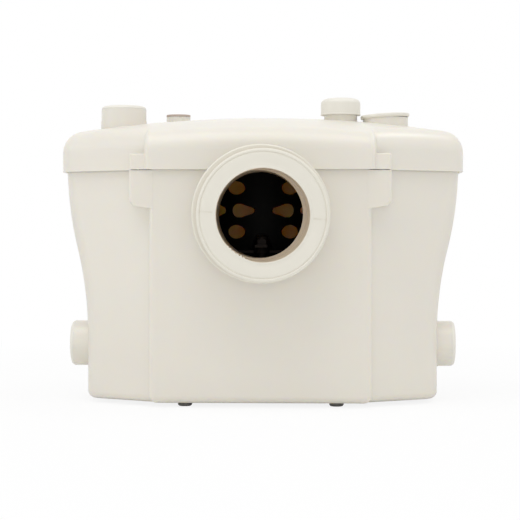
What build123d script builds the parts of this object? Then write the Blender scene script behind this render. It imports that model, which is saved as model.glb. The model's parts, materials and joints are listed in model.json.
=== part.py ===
from build123d import *
from math import asin, cos, degrees, radians, sin, tan
import os

# A toilet macerator pump: a closed tank that stands behind the pan, with the pan's waste entering through
# a rubber connector into a perforated basket. An upright motor turns a cutter in the basket and an impeller
# under it, and the pumped water climbs a pipe with a flap valve to the discharge spigot on the lid.
# Frame: +Z up, -Y towards the toilet pan, origin on the floor under the middle of the whole pump.
# All lengths are in millimetres and all angles in degrees.

# Tank and lid
tank_top_width = 389.0
flare_reach = 22.0
tank_depth = 170.0
tank_height = 232.0
foot_height = 4.0
wall = 3.5
bulge_width = 212.0
bulge_step = 11.0
side_panel_angle = 30.0
flare_start_z = 66.0
lid_overhang = 4.5
lid_wall = 3.2
seal_height = 2.0
skirt_drop = 11.0
crest_rise = 43.0
crown_radius_x = 1250.0
crown_radius_y = 220.0

# Inlets and outlets
inlet_drop = 52.0
inlet_bore = 82.0
inlet_spigot_od = 104.0
inlet_spigot_reach = 35.0
connector_bore = 86.0
connector_reach = 55.0
spigot_od = 45.0
spigot_bore = 38.0
side_inlet_z = 56.3
side_spigot_reach = 19.1
side_shoulder_reach = 2.5
top_fittings_depth = 85.0
top_inlet_inset = 55.2
top_inlet_rise = 13.5
top_shoulder_drop = 2.5
vent_spacing = 44.7
vent_collar_rise = 3.0
vent_rise = 20.6
discharge_inset = 71.8
discharge_rise = 0.6
gland_spacing = 52.0
gland_depth = 120.0
gland_collar_drop = 2.5
gland_rise = 6.5
spigot_shoulder = 0.4
plug_head = 4.0

# Motor, pump and cutter
stack_depth = 64.0
motor_radius = 50.0
basket_clearance = 2.0
flange_radius = 58.0
flange_height = 10.0
shaft_radius = 6.0
volute_radius = 50.0
volute_height = 23.0
impeller_radius = 38.0
basket_radius = 50.0
basket_height = 94.0
cutter_radius = 44.0
suction_gap = 6.5
plate_thickness = 3.0

# Riser and level switch
pipe_radius = 10.5
pipe_bore_radius = 8.5
switch_x = -88.0
switch_depth = 92.0
tray_drop = 37.0
bell_radius = 15.0

# Fits
running_gap = 0.05
slide_gap = 0.2
part_gap = 0.3
overrun = 20.0

# Planes, places and heights that the pieces share
front_y = (connector_reach - tank_depth - lid_overhang) / 2
back_y = front_y + tank_depth
mid_y = front_y + tank_depth / 2
step_y = front_y + bulge_step
stack_y = front_y + stack_depth
stack = (0, stack_y)
fittings_y = front_y + top_fittings_depth
gland_y = front_y + gland_depth
switch_y = front_y + switch_depth
tank_floor_z = foot_height + wall
rim_z = foot_height + tank_height
seat_z = rim_z + seal_height
skirt_z = seat_z - skirt_drop
crest_z = seat_z + crest_rise
bulge_half = bulge_width / 2
top_half = tank_top_width / 2
base_half = top_half - flare_reach
inlet_z = rim_z - inlet_drop
side_spigot_end_x = base_half + side_spigot_reach
side_shoulder_x = base_half + side_shoulder_reach
top_inlet_x = top_inlet_inset - top_half
top_inlet_z = crest_z + top_inlet_rise
top_shoulder_z = crest_z - top_shoulder_drop
discharge_x = top_half - discharge_inset
discharge_z = crest_z + discharge_rise
vent_x = discharge_x - vent_spacing
vent_collar_z = crest_z + vent_collar_rise
vent_top_z = crest_z + vent_rise
gland_x = top_inlet_x + gland_spacing
gland_collar_z = crest_z - gland_collar_drop
gland_top_z = crest_z + gland_rise
tray_z = rim_z - tray_drop
panel_slope = tan(radians(side_panel_angle))
volute_z = tank_floor_z + suction_gap + plate_thickness
motor_z = volute_z + volute_height + flange_height
basket_rim_z = rim_z - basket_clearance
basket_z = basket_rim_z - basket_height
motor_height = basket_z - flange_height - motor_z
upright = (Align.CENTER, Align.CENTER, Align.MIN)

os.makedirs("parts", exist_ok=True)


def keep(piece, label):
    """Name a finished piece and write it to its own file."""
    piece.part.label = label
    export_step(piece.part, "parts/" + label + ".step")


def column(at, radius, low, high, mode=Mode.ADD):
    """Upright round bar between two heights."""
    with Locations((at[0], at[1], low)):
        Cylinder(radius, high - low, align=upright, mode=mode)


def bar_x(y, z, radius, low, high, mode=Mode.ADD):
    """Round bar along X."""
    with Locations((low, y, z)):
        Cylinder(radius, high - low, rotation=(0, 90, 0), align=upright, mode=mode)


def bar_y(x, z, radius, low, high, mode=Mode.ADD):
    """Round bar along Y."""
    with Locations((x, low, z)):
        Cylinder(radius, high - low, rotation=(-90, 0, 0), align=upright, mode=mode)


def block(x_range, y_range, z_range, mode=Mode.ADD):
    """Box between pairs of limits."""
    sizes = [high - low for low, high in (x_range, y_range, z_range)]
    with Locations(tuple((low + high) / 2 for low, high in (x_range, y_range, z_range))):
        Box(*sizes, mode=mode)


def both_sides(low, high):
    """The same pair of X limits on the left and on the right."""
    return [(low, high), (-high, -low)]


# Shell forms, made at any growth or shrinkage of the tank's own outline
bulge_corner_radius = 4.5
lid_corner_radius = 5.5
step_corner_radius = 2.5
end_corner_radius = 22.0
bottom_radius = 7.0
crown_edge_radius = 22.0
least_radius = 1.0
end_front_depth = bulge_step + (top_half - bulge_half) * panel_slope


def plan_face(grow, with_bulge):
    """The plan outline with sharp corners, grown outwards by grow."""
    with BuildSketch() as plan:
        with BuildLine():
            if with_bulge:
                Polyline((0, front_y), (bulge_half, front_y), (bulge_half, step_y))
            else:
                Polyline((0, step_y), (bulge_half, step_y))
            Polyline(
                (bulge_half, step_y),
                (top_half, front_y + end_front_depth),
                (top_half, back_y),
                (0, back_y),
            )
            mirror(about=Plane.YZ)
        make_face()
        if grow:
            offset(amount=grow, kind=Kind.INTERSECTION)
    return plan.sketch


def flare_block(grow, low):
    """Front silhouette of the tank, with its two flared ends, run through the whole depth."""
    half_low = base_half + grow
    half_high = top_half + grow
    middle = ((half_low + half_high) / 2, (flare_start_z + rim_z) / 2)
    with BuildPart() as silhouette:
        with BuildSketch(Plane.XZ.offset(-back_y - overrun)):
            with BuildLine():
                Polyline((0, low), (half_low, low), (half_low, flare_start_z))
                lower = TangentArc((half_low, flare_start_z), middle, tangent=(0, 1))
                TangentArc(middle, (half_high, rim_z), tangent=lower % 1)
                Polyline((half_high, rim_z), (half_high, rim_z + overrun), (0, rim_z + overrun))
                mirror(about=Plane.YZ)
            make_face()
        extrude(amount=tank_depth + 2 * overrun)
    return silhouette.part


def climbing_edges(form, x_limits, y_limits):
    """Edges that climb, with their middle between limits of |X| and of Y."""
    found = ShapeList()
    for edge in form.edges():
        size = edge.bounding_box().size
        middle = edge.center()
        in_window = x_limits[0] < abs(middle.X) < x_limits[1] and y_limits[0] < middle.Y < y_limits[1]
        if in_window and size.Z > max(size.X, size.Y):
            found.append(edge)
    return found


def tank_form(grow, low, high):
    """Solid form of the tank between two heights, with its upright edges rounded."""
    beyond = 2 * lid_overhang
    bulge_x = (bulge_half - beyond, bulge_half + beyond)
    end_x = (base_half - beyond, top_half + beyond)
    with BuildPart() as form:
        with BuildSketch(Plane.XY.offset(low)):
            add(plan_face(grow, True))
        extrude(amount=high - low)
        add(flare_block(grow, low), mode=Mode.INTERSECT)
        ends = climbing_edges(form.part, end_x, (step_y, back_y + beyond))
        fillet(ends, radius=end_corner_radius + grow)
        fronts = climbing_edges(form.part, bulge_x, (front_y - beyond, front_y + bulge_step / 2))
        fillet(fronts, radius=max(bulge_corner_radius + grow, least_radius))
        steps = climbing_edges(form.part, bulge_x, (front_y + bulge_step / 2, step_y + beyond))
        fillet(steps, radius=max(step_corner_radius - grow, least_radius))
    return form.part


def crown_block(drop):
    """All that lies under the lid's crown: an arch turned about a far axis that runs front to back."""
    half_angle = degrees(asin((top_half + overrun) / crown_radius_x))
    side = Plane(
        origin=(0, 0, crest_z - crown_radius_x),
        x_dir=(0, 1, 0),
        z_dir=(cos(radians(half_angle)), 0, sin(radians(half_angle))),
    )
    half_depth = tank_depth / 2 + overrun
    arch_radius = crown_radius_y - drop
    arch_centre = crown_radius_x - crown_radius_y
    edge_height = arch_centre + (arch_radius**2 - half_depth**2) ** 0.5
    base_height = edge_height - crest_rise - skirt_drop
    with BuildPart() as crown:
        with BuildSketch(side):
            with BuildLine():
                Bezier(
                    (mid_y - half_depth, edge_height),
                    (mid_y, arch_centre + arch_radius**2 / (edge_height - arch_centre)),
                    (mid_y + half_depth, edge_height),
                    weights=(1, (edge_height - arch_centre) / arch_radius, 1),
                )
                Polyline(
                    (mid_y + half_depth, edge_height),
                    (mid_y + half_depth, base_height),
                    (mid_y - half_depth, base_height),
                    (mid_y - half_depth, edge_height),
                )
            make_face()
        revolve(axis=Axis((0, 0, crest_z - crown_radius_x), (0, 1, 0)), revolution_arc=2 * half_angle)
    return crown.part


def lid_form(grow, drop, low):
    """Solid form of the lid above one height: a rounded body and, in front of it, the rounded bulge."""
    beyond = 2 * lid_overhang
    end_x = (base_half - beyond, top_half + beyond)
    high = crest_z + overrun
    crown = crown_block(drop)
    with BuildPart() as body:
        with BuildSketch(Plane.XY.offset(low)):
            add(plan_face(grow, False))
        extrude(amount=high - low)
        ends = climbing_edges(body.part, end_x, (step_y, back_y + beyond))
        fillet(ends, radius=end_corner_radius + grow)
        add(crown, mode=Mode.INTERSECT)
        fillet(body.faces().sort_by(Axis.Z)[-1].edges(), radius=crown_edge_radius - drop)
    half = bulge_half + grow
    with BuildPart() as bulge:
        block((-half, half), (front_y - grow, mid_y), (low, high))
        add(crown, mode=Mode.INTERSECT)
        brow = bulge.faces().sort_by(Axis.Y)[0].edges().sort_by(Axis.Z)[-1]
        fillet(brow, radius=crown_edge_radius - drop)
        for cheek in (bulge.faces().sort_by(Axis.X)[0], bulge.faces().sort_by(Axis.X)[-1]):
            seams = cheek.edges().filter_by(lambda edge: edge.center().Z > low + least_radius)
            seams = seams.filter_by(lambda edge: edge.center().Y < mid_y - least_radius)
            fillet(seams, radius=max(lid_corner_radius - drop, least_radius))
    with BuildPart() as form:
        add(body.part)
        add(bulge.part)
    return form.part


# Screw tabs beside the bulge, and screw pockets at the back
tab_out = 125.0
tab_height = 37.0
tab_chamfer = 4.0
tab_edge = 3.0
tab_slope = 2.5
tab_gap = 0.6
lid_tab_height = 15.0
lid_tab_inset = 0.5
lid_tab_setback = 3.0
tab_screw_inset = 8.5
tab_screw_depth = 6.0
pocket_inset = 45.5
pocket_half = 10.0
pocket_depth = 14.0
pocket_floor = 4.0
pocket_post_height = 46.0
screw_radius = 2.0
screw_head_radius = 4.0
screw_head_height = 2.5
screw_recess = 4.0
lid_screw_length = 36.0
pocket_x = top_half - pocket_inset
tab_back_y = step_y + (tab_out - bulge_half) * panel_slope + wall
tab_low_z = skirt_z - tab_height
tab_top_z = skirt_z + lid_tab_height
pocket_z = seat_z + pocket_floor
pocket_y = back_y - pocket_depth
pocket_span = (pocket_x - pocket_half, pocket_x + pocket_half)
tab_screw = (tab_out - tab_screw_inset, front_y + tab_screw_depth, tab_top_z - screw_recess)
pocket_screw = (pocket_x, pocket_y + pocket_depth / 2, pocket_z)
screw_seats = [(side * x, y, z) for x, y, z in (tab_screw, pocket_screw) for side in (-1, 1)]

# Flap valves on the inside of the side inlets
seat_ring_length = 7.0
seat_ring_radius = 23.0
inlet_flap_radius = 20.3
inlet_flap_thickness = 2.0
flap_pin_radius = 1.5
flap_barrel_radius = 3.0
flap_barrel_length = 12.0
flap_lug_width = 4.0
flap_pin_rise = 22.5

# Shelf that carries the switch and the electrics
tray_span = (-117.0, -57.0)
tray_front_depth = 62.0
tray_thickness = 3.0
ledge_xs = (-104.0, -66.0)
ledge_half = 6.0
ledge_depth = 17.0
ledge_height = 12.0
tray_low_z = tray_z - tray_thickness
ledge_y = back_y - wall - ledge_depth
tray_screw_share = 0.7
tray_screw_y = ledge_y + ledge_depth * tray_screw_share

with BuildPart() as tank_tab:
    with BuildSketch(Plane.XZ.offset(-front_y)):
        with BuildLine():
            Polyline(
                (bulge_half - wall, tab_low_z),
                (tab_out - tab_chamfer, tab_low_z + tab_slope),
                (tab_out, tab_low_z + tab_slope + tab_chamfer),
                (tab_out, skirt_z - tab_gap),
                (bulge_half - wall, skirt_z - tab_gap),
                close=True,
            )
        make_face()
    extrude(amount=front_y - tab_back_y)
    outer_edges = tank_tab.faces().sort_by(Axis.Y)[0].edges().sort_by(Axis.X)[-2:]
    fillet(outer_edges, radius=tab_edge)

with BuildPart() as lid_tab:
    lid_tab_front_y = front_y - lid_overhang + lid_tab_setback
    block((bulge_half, tab_out - lid_tab_inset), (lid_tab_front_y, tab_back_y), (skirt_z, tab_top_z))
    outer_edge = lid_tab.faces().sort_by(Axis.Y)[0].edges().sort_by(Axis.X)[-1]
    fillet(outer_edge, radius=tab_edge)
    fillet(lid_tab.faces().sort_by(Axis.Z)[-1].edges().sort_by(Axis.Y)[0], radius=least_radius)

with BuildPart() as tank:
    add(tank_form(0, foot_height, rim_z))
    fillet(tank.faces().sort_by(Axis.Z)[0].edges(), radius=bottom_radius)
    add(tank_tab.part)
    mirror(tank_tab.part, about=Plane.YZ)
    bar_y(0, inlet_z, inlet_spigot_od / 2, front_y - inlet_spigot_reach, front_y + wall)
    for low, high in both_sides(base_half - wall, side_spigot_end_x - wall):
        bar_x(fittings_y, side_inlet_z, spigot_od / 2, low, high)
    for low, high in both_sides(base_half - wall, side_shoulder_x):
        bar_x(fittings_y, side_inlet_z, spigot_od / 2 + spigot_shoulder, low, high)
    add(tank_form(-wall, tank_floor_z, rim_z + overrun), mode=Mode.SUBTRACT)
    bar_y(0, inlet_z, inlet_bore / 2, front_y - inlet_spigot_reach, front_y + wall, Mode.SUBTRACT)
    for low, high in both_sides(base_half - overrun, side_spigot_end_x):
        bar_x(fittings_y, side_inlet_z, spigot_bore / 2, low, high, Mode.SUBTRACT)
    for low, high in both_sides(*pocket_span):
        block((low, high), (pocket_y, back_y - wall), (rim_z - pocket_post_height, rim_z))
    for x in ledge_xs:
        ledge_x = (x - ledge_half, x + ledge_half)
        block(ledge_x, (ledge_y, back_y - wall), (tray_low_z - ledge_height, tray_low_z))
        screw_hole_low_z = tray_low_z - ledge_height / 2
        column((x, tray_screw_y), screw_radius, screw_hole_low_z, tray_low_z, Mode.SUBTRACT)
    for x, y, z in screw_seats:
        column((x, y), screw_radius + slide_gap, z - lid_screw_length - slide_gap, z, Mode.SUBTRACT)
keep(tank, "tank")

# Lid, with its ledge, its spigots and the collars of the vent and of the cable gland
ledge_thickness = 3.0
fitting_drop = 26.0
vent_collar_radius = 16.5
vent_bore = 24.0
gland_collar_radius = 13.0
gland_stem_radius = 8.0
gland_nut_drop = 12.5
gland_nut_z = gland_collar_z - gland_nut_drop
spigot_low_z = discharge_z - fitting_drop
shoulder_radius = spigot_od / 2 + spigot_shoulder
top_inlet_rim_z = top_inlet_z - plug_head
lid_cavity_grow = lid_overhang - lid_wall
fittings = [
    ((top_inlet_x, fittings_y), shoulder_radius, spigot_bore / 2, spigot_low_z, top_shoulder_z),
    ((discharge_x, fittings_y), spigot_od / 2, spigot_bore / 2, spigot_low_z, discharge_z),
    ((vent_x, fittings_y), vent_collar_radius, vent_bore / 2, spigot_low_z, vent_collar_z),
    ((gland_x, gland_y), gland_collar_radius, gland_stem_radius, gland_nut_z, gland_collar_z),
]

all_x = (-top_half - overrun, top_half + overrun)
all_y = (front_y - overrun, back_y + overrun)

with BuildPart() as lid_cavity:
    add(lid_form(lid_cavity_grow, lid_wall, skirt_z))
    block(all_x, all_y, (skirt_z - overrun, seat_z + ledge_thickness), Mode.SUBTRACT)
    for at, outside, inside, low, high in fittings:
        column(at, outside, low, high + overrun, Mode.SUBTRACT)
    add(tank_form(-wall, seat_z - overrun, seat_z + ledge_thickness + lid_wall))
    for low, high in both_sides(pocket_span[0] - lid_wall, pocket_span[1] + lid_wall):
        pocket_y_span = (pocket_y - lid_wall, back_y + overrun)
        block((low, high), pocket_y_span, (seat_z - overrun, crest_z), Mode.SUBTRACT)

with BuildPart() as lid:
    add(lid_form(lid_overhang, 0, skirt_z))
    for at, outside, inside, low, high in fittings:
        column(at, outside, seat_z, high)
    column((top_inlet_x, fittings_y), spigot_od / 2, top_shoulder_z, top_inlet_rim_z)
    add(lid_tab.part)
    mirror(lid_tab.part, about=Plane.YZ)
    for low, high in both_sides(*pocket_span):
        block((low, high), (pocket_y, back_y + overrun), (pocket_z, crest_z), Mode.SUBTRACT)
    add(lid_cavity.part, mode=Mode.SUBTRACT)
    add(tank_form(lid_cavity_grow, skirt_z - overrun, seat_z), mode=Mode.SUBTRACT)
    notch_radius = inlet_spigot_od / 2 + least_radius
    bar_y(0, inlet_z, notch_radius, front_y - overrun, front_y, Mode.SUBTRACT)
    for at, outside, inside, low, high in fittings:
        column(at, inside, low - overrun, high, Mode.SUBTRACT)
    column((top_inlet_x, fittings_y), spigot_bore / 2, top_shoulder_z, top_inlet_rim_z, Mode.SUBTRACT)
    for x, y, z in screw_seats:
        column((x, y), screw_radius, skirt_z - overrun, z, Mode.SUBTRACT)
        column((x, y), screw_head_radius + slide_gap, z, z + screw_recess, Mode.SUBTRACT)
keep(lid, "lid")

with BuildPart() as lid_seal:
    add(tank_form(-part_gap, rim_z, seat_z))
    add(tank_form(-wall + part_gap, rim_z, seat_z), mode=Mode.SUBTRACT)
keep(lid_seal, "lid_seal")


def screw_at(x, y, seat, length, up=False):
    """Round-headed screw whose head rests on a seat, its shank down or up."""
    if up:
        column((x, y), screw_head_radius, seat - screw_head_height, seat)
        column((x, y), screw_radius, seat, seat + length)
    else:
        column((x, y), screw_head_radius, seat, seat + screw_head_height)
        column((x, y), screw_radius, seat - length, seat)


with BuildPart() as lid_screws:
    for x, y, z in screw_seats:
        screw_at(x, y, z, lid_screw_length)
keep(lid_screws, "lid_screws")

foot_radius = 6.9
foot_spacing = 146.0
foot_inset = 20.0
foot_edge = 2.2

with BuildPart() as rubber_feet:
    for x in (-foot_spacing / 2, foot_spacing / 2):
        for y in (front_y + foot_inset, back_y - foot_inset):
            column((x, y), foot_radius, 0, foot_height)
    fillet(rubber_feet.faces().group_by(Axis.Z)[0].edges(), radius=foot_edge)
keep(rubber_feet, "rubber_feet")

# Rubber connector on the waste inlet, turned from one profile, and its hose clamp
inlet_plane = Plane(origin=(0, 0, inlet_z), x_dir=(0, 1, 0), z_dir=(1, 0, 0))
inlet_axis = Axis((0, 0, inlet_z), (0, 1, 0))
sleeve_wall = 3.5
ring_drop = 3.0
ring_thickness = 5.0
ring_edge = 1.6
groove_rise = 1.5
groove_width = 9.0
lip_rise = 9.0
lip_thickness = 3.5
lip_edge = 1.0
panel_gap = 1.0
sleeve_od = inlet_spigot_od + 2 * sleeve_wall
lip_od = sleeve_od + 2 * lip_rise
ring_od = lip_od - 2 * ring_drop
groove_od = sleeve_od + 2 * groove_rise
mouth_y = front_y - connector_reach
groove_y = mouth_y + ring_thickness
lip_y = groove_y + groove_width
sleeve_y = lip_y + lip_thickness
inner_step_y = front_y - inlet_spigot_reach
sleeve_end_y = front_y - lid_overhang - panel_gap

with BuildPart() as wc_connector:
    with BuildSketch(inlet_plane):
        with BuildLine():
            Polyline(
                (mouth_y, connector_bore / 2),
                (mouth_y, ring_od / 2),
                (groove_y, ring_od / 2),
                (groove_y, groove_od / 2),
                (lip_y, groove_od / 2),
                (lip_y, lip_od / 2),
                (sleeve_y, lip_od / 2),
                (sleeve_y, sleeve_od / 2),
                (sleeve_end_y, sleeve_od / 2),
                (sleeve_end_y, inlet_spigot_od / 2),
                (inner_step_y, inlet_spigot_od / 2),
                (inner_step_y, connector_bore / 2),
                close=True,
            )
        make_face()
    revolve(axis=inlet_axis)
    rims = wc_connector.edges().filter_by(GeomType.CIRCLE)
    fillet(rims.filter_by(lambda edge: edge.radius > lip_od / 2 - lip_edge), radius=lip_edge)
    front = wc_connector.faces().sort_by(Axis.Y)[0].edges()
    fillet(front, radius=ring_edge)
keep(wc_connector, "wc_connector")

band_width = 9.0
band_thickness = 0.8
band_housing = (12.0, 8.0, 6.4)
clamp_screw_radius = 2.2
clamp_screw_head = 2.8
clamp_screw_length = 20.0
band_y = (sleeve_y + sleeve_end_y) / 2
band_radius = sleeve_od / 2 + band_thickness
housing_low = band_radius - band_thickness / 2
housing_high = band_radius + band_housing[2]
clamp_screw_z = inlet_z - band_radius - band_housing[2] / 2

with BuildPart() as clamp_band:
    with BuildSketch(inlet_plane):
        with Locations((band_y, band_radius - band_thickness / 2)):
            Rectangle(band_width, band_thickness)
    revolve(axis=inlet_axis)
    housing_x = (-band_housing[0] / 2, band_housing[0] / 2)
    housing_y = (band_y - band_housing[1] / 2, band_y + band_housing[1] / 2)
    block(housing_x, housing_y, (inlet_z - housing_high, inlet_z - housing_low))
    bar_y(0, inlet_z, sleeve_od / 2, band_y - band_width, band_y + band_width, Mode.SUBTRACT)
    bar_x(band_y, clamp_screw_z, clamp_screw_radius, -band_housing[0], band_housing[0], Mode.SUBTRACT)
keep(clamp_band, "clamp_band")

with BuildPart() as clamp_screw:
    bar_x(band_y, clamp_screw_z, clamp_screw_radius, -band_housing[0] / 2, clamp_screw_length / 2)
    bar_x(band_y, clamp_screw_z, clamp_screw_head, band_housing[0] / 2, clamp_screw_length / 2)
keep(clamp_screw, "clamp_screw")

# Guide from the inlet to the basket, cut to the basket's round wall
guide_wall = 2.5

with BuildPart() as inlet_guide:
    bar_y(0, inlet_z, inlet_bore / 2 + guide_wall, front_y + wall, stack_y - guide_wall)
    bar_y(0, inlet_z, inlet_bore / 2, front_y, stack_y, Mode.SUBTRACT)
    column(stack, basket_radius + part_gap, basket_z, basket_rim_z, Mode.SUBTRACT)
keep(inlet_guide, "inlet_guide")

# Blanking plugs of the spigots that the photograph shows closed
plug_stem = 14.0
plug_edge = 2.2
top_plug_edge = 3.4
plug_inset = 0.3
plug_radius = spigot_od / 2 - plug_inset
stem_radius = spigot_bore / 2 - slide_gap

for label, side in (("side_plug_left", -1), ("side_plug_right", 1)):
    head_x = sorted((side * (side_spigot_end_x - wall), side * (side_spigot_end_x - wall + plug_head)))
    stem_x = sorted((side * (side_spigot_end_x - wall), side * (side_spigot_end_x - wall - plug_stem)))
    with BuildPart() as side_plug:
        bar_x(fittings_y, side_inlet_z, plug_radius, *head_x)
        end_face = side_plug.faces().sort_by(Axis.X)[-1 if side > 0 else 0]
        fillet(end_face.edges(), radius=plug_edge)
        bar_x(fittings_y, side_inlet_z, stem_radius, *stem_x)
    keep(side_plug, label)

with BuildPart() as top_inlet_plug:
    column((top_inlet_x, fittings_y), plug_radius, top_inlet_rim_z, top_inlet_z)
    fillet(top_inlet_plug.faces().sort_by(Axis.Z)[-1].edges(), radius=top_plug_edge)
    column((top_inlet_x, fittings_y), stem_radius, top_inlet_rim_z - plug_stem, top_inlet_rim_z)
keep(top_inlet_plug, "top_inlet_plug")

discharge_cap_radius = 23.8
discharge_cap_thickness = 3.2

with BuildPart() as discharge_plug:
    cap_z = discharge_z + discharge_cap_thickness
    column((discharge_x, fittings_y), discharge_cap_radius, discharge_z, cap_z)
    fillet(discharge_plug.faces().sort_by(Axis.Z)[-1].edges(), radius=plug_edge / 2)
    column((discharge_x, fittings_y), stem_radius, discharge_z - plug_stem, discharge_z)
    fillet(discharge_plug.faces().sort_by(Axis.Z)[0].edges(), radius=plug_edge / 2)
keep(discharge_plug, "discharge_plug")

# Mushroom vent cap with a carbon filter in it
vent_cap_radius = 20.0
vent_cap_wall = 2.0
vent_cap_edge = 6.0
vent_stem_length = 14.0
filter_height = 9.0
vent_hole_radius = 0.7
vent_hole_count = 4
vent_hole_circle = vent_collar_radius + vent_hole_radius
vent_stem_radius = vent_bore / 2 - slide_gap

with BuildPart() as vent_cap:
    column((vent_x, fittings_y), vent_cap_radius, vent_collar_z, vent_top_z)
    fillet(vent_cap.faces().sort_by(Axis.Z)[-1].edges(), radius=vent_cap_edge)
    fillet(vent_cap.faces().sort_by(Axis.Z)[0].edges(), radius=vent_cap_wall / 4)
    column((vent_x, fittings_y), vent_stem_radius, vent_collar_z - vent_stem_length, vent_collar_z)
    head_low_z = vent_collar_z + vent_cap_wall
    head_high_z = vent_top_z - 2 * vent_cap_wall
    column((vent_x, fittings_y), vent_cap_radius - vent_cap_wall, head_low_z, head_high_z, Mode.SUBTRACT)
    bore_radius = vent_stem_radius - vent_cap_wall
    column((vent_x, fittings_y), bore_radius, vent_collar_z - vent_stem_length, head_high_z, Mode.SUBTRACT)
    with Locations((vent_x, fittings_y, vent_collar_z)):
        with PolarLocations(vent_hole_circle, vent_hole_count):
            Cylinder(vent_hole_radius, 2 * vent_cap_wall, mode=Mode.SUBTRACT)
keep(vent_cap, "vent_cap")

with BuildPart() as vent_filter:
    column((vent_x, fittings_y), bore_radius, vent_collar_z - filter_height, vent_collar_z)
keep(vent_filter, "vent_filter")

# Cable gland
gland_body_radius = 12.25
gland_bore_radius = 4.0
gland_seal_height = 2.0
gland_nut_height = 6.0
gland_nut_radius = 12.0
gland_body_top_z = gland_top_z - gland_seal_height

with BuildPart() as cable_gland_body:
    column((gland_x, gland_y), gland_body_radius, gland_collar_z, gland_body_top_z)
    column((gland_x, gland_y), gland_stem_radius, gland_nut_z - gland_nut_height, gland_collar_z)
    gland_foot_z = gland_nut_z - gland_nut_height
    column((gland_x, gland_y), gland_bore_radius, gland_foot_z, gland_body_top_z, Mode.SUBTRACT)
keep(cable_gland_body, "cable_gland_body")

with BuildPart() as cable_gland_nut:
    with BuildSketch(Plane.XY.offset(gland_nut_z - gland_nut_height)):
        with Locations((gland_x, gland_y)):
            RegularPolygon(gland_nut_radius, 6)
            Circle(gland_stem_radius, mode=Mode.SUBTRACT)
    extrude(amount=gland_nut_height)
keep(cable_gland_nut, "cable_gland_nut")

with BuildPart() as cable_gland_seal:
    column((gland_x, gland_y), gland_body_radius, gland_body_top_z, gland_top_z)
    fillet(cable_gland_seal.faces().sort_by(Axis.Z)[-1].edges(), radius=gland_seal_height / 4)
    column((gland_x, gland_y), gland_bore_radius, gland_body_top_z, gland_top_z, Mode.SUBTRACT)
keep(cable_gland_seal, "cable_gland_seal")

# Pump: suction plate on its legs, volute with a side outlet, impeller and nut
eye_radius = 16.0
leg_radius = 5.0
leg_circle = 42.0
leg_count = 3
leg_start = 15.0
chamber_radius = 42.0
volute_roof = 4.0
outlet_start_x = 30.0
outlet_inset = 48.7
outlet_y = fittings_y
outlet_end_x = discharge_x - outlet_inset
pump_screw_length = 10.0
rim_screw_circle = 46.0
flange_screw_circle = 54.0
pump_screw_start = 60.0
screw_count = 4
chamber_z = volute_z
chamber_top_z = volute_z + volute_height - volute_roof
outlet_z = (chamber_z + chamber_top_z) / 2
flange_low_z = volute_z + volute_height
plate_z = volute_z - plate_thickness

with BuildPart() as suction_plate:
    column(stack, volute_radius, plate_z, volute_z)
    column(stack, eye_radius, plate_z, volute_z, Mode.SUBTRACT)
    with Locations((0, stack_y, tank_floor_z)):
        with PolarLocations(leg_circle, leg_count, start_angle=leg_start):
            Cylinder(leg_radius, suction_gap, align=upright)
        with PolarLocations(rim_screw_circle, screw_count, start_angle=pump_screw_start):
            Cylinder(screw_radius, volute_height, align=upright, mode=Mode.SUBTRACT)
keep(suction_plate, "suction_plate")

with BuildPart() as pump_volute:
    column(stack, volute_radius, volute_z, flange_low_z)
    column(stack, flange_radius, chamber_top_z, flange_low_z)
    bar_x(outlet_y, outlet_z, pipe_radius, outlet_start_x, outlet_end_x)
    column(stack, volute_radius + part_gap, 0, volute_z, Mode.SUBTRACT)
    column(stack, chamber_radius, chamber_z, chamber_top_z, Mode.SUBTRACT)
    bar_x(outlet_y, outlet_z, pipe_bore_radius, outlet_start_x, outlet_end_x, Mode.SUBTRACT)
    column(stack, shaft_radius + plate_thickness, chamber_top_z, flange_low_z, Mode.SUBTRACT)
    with Locations((0, stack_y, volute_z)):
        with PolarLocations(rim_screw_circle, screw_count, start_angle=pump_screw_start):
            Cylinder(screw_radius, pump_screw_length - plate_thickness, align=upright, mode=Mode.SUBTRACT)
        with PolarLocations(flange_screw_circle, screw_count, start_angle=pump_screw_start):
            Cylinder(screw_radius, volute_height, align=upright, mode=Mode.SUBTRACT)
keep(pump_volute, "pump_volute")

with BuildPart() as pump_screws:
    for circle, seat in ((rim_screw_circle, plate_z), (flange_screw_circle, chamber_top_z)):
        with PolarLocations(circle, screw_count, start_angle=pump_screw_start) as places:
            spots = [place.position for place in places.locations]
        for spot in spots:
            screw_at(spot.X, stack_y + spot.Y, seat, pump_screw_length, up=True)
keep(pump_screws, "pump_screws")

impeller_gap = 1.5
vane_height = 11.0
vane_count = 5
vane_thickness = 2.6
vane_curve_radius = 26.0
vane_sweep = 70.0
impeller_disc = 3.0
impeller_hub_radius = 11.0
impeller_roof_gap = 2.0
thread_radius = 4.0
nut_height = 5.0
nut_radius = 8.5
vane_z = volute_z + impeller_gap
disc_z = vane_z + vane_height
hub_low_z = plate_z + nut_height
hub_top_z = chamber_top_z - impeller_roof_gap
vane_centre = impeller_radius - vane_curve_radius

with BuildPart() as impeller:
    column(stack, impeller_radius, disc_z, disc_z + impeller_disc)
    with BuildSketch(Plane.XY.offset(vane_z)):
        with Locations(stack):
            with PolarLocations(0, vane_count):
                vane_arc = CenterArc(
                    (vane_centre, 0),
                    vane_curve_radius - vane_thickness,
                    0,
                    vane_sweep,
                    mode=Mode.PRIVATE,
                )
                SlotArc(vane_arc, vane_thickness)
    extrude(amount=vane_height)
    column(stack, impeller_hub_radius, hub_low_z, hub_top_z)
    column(stack, shaft_radius, hub_low_z, hub_top_z, Mode.SUBTRACT)
keep(impeller, "impeller")

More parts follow.
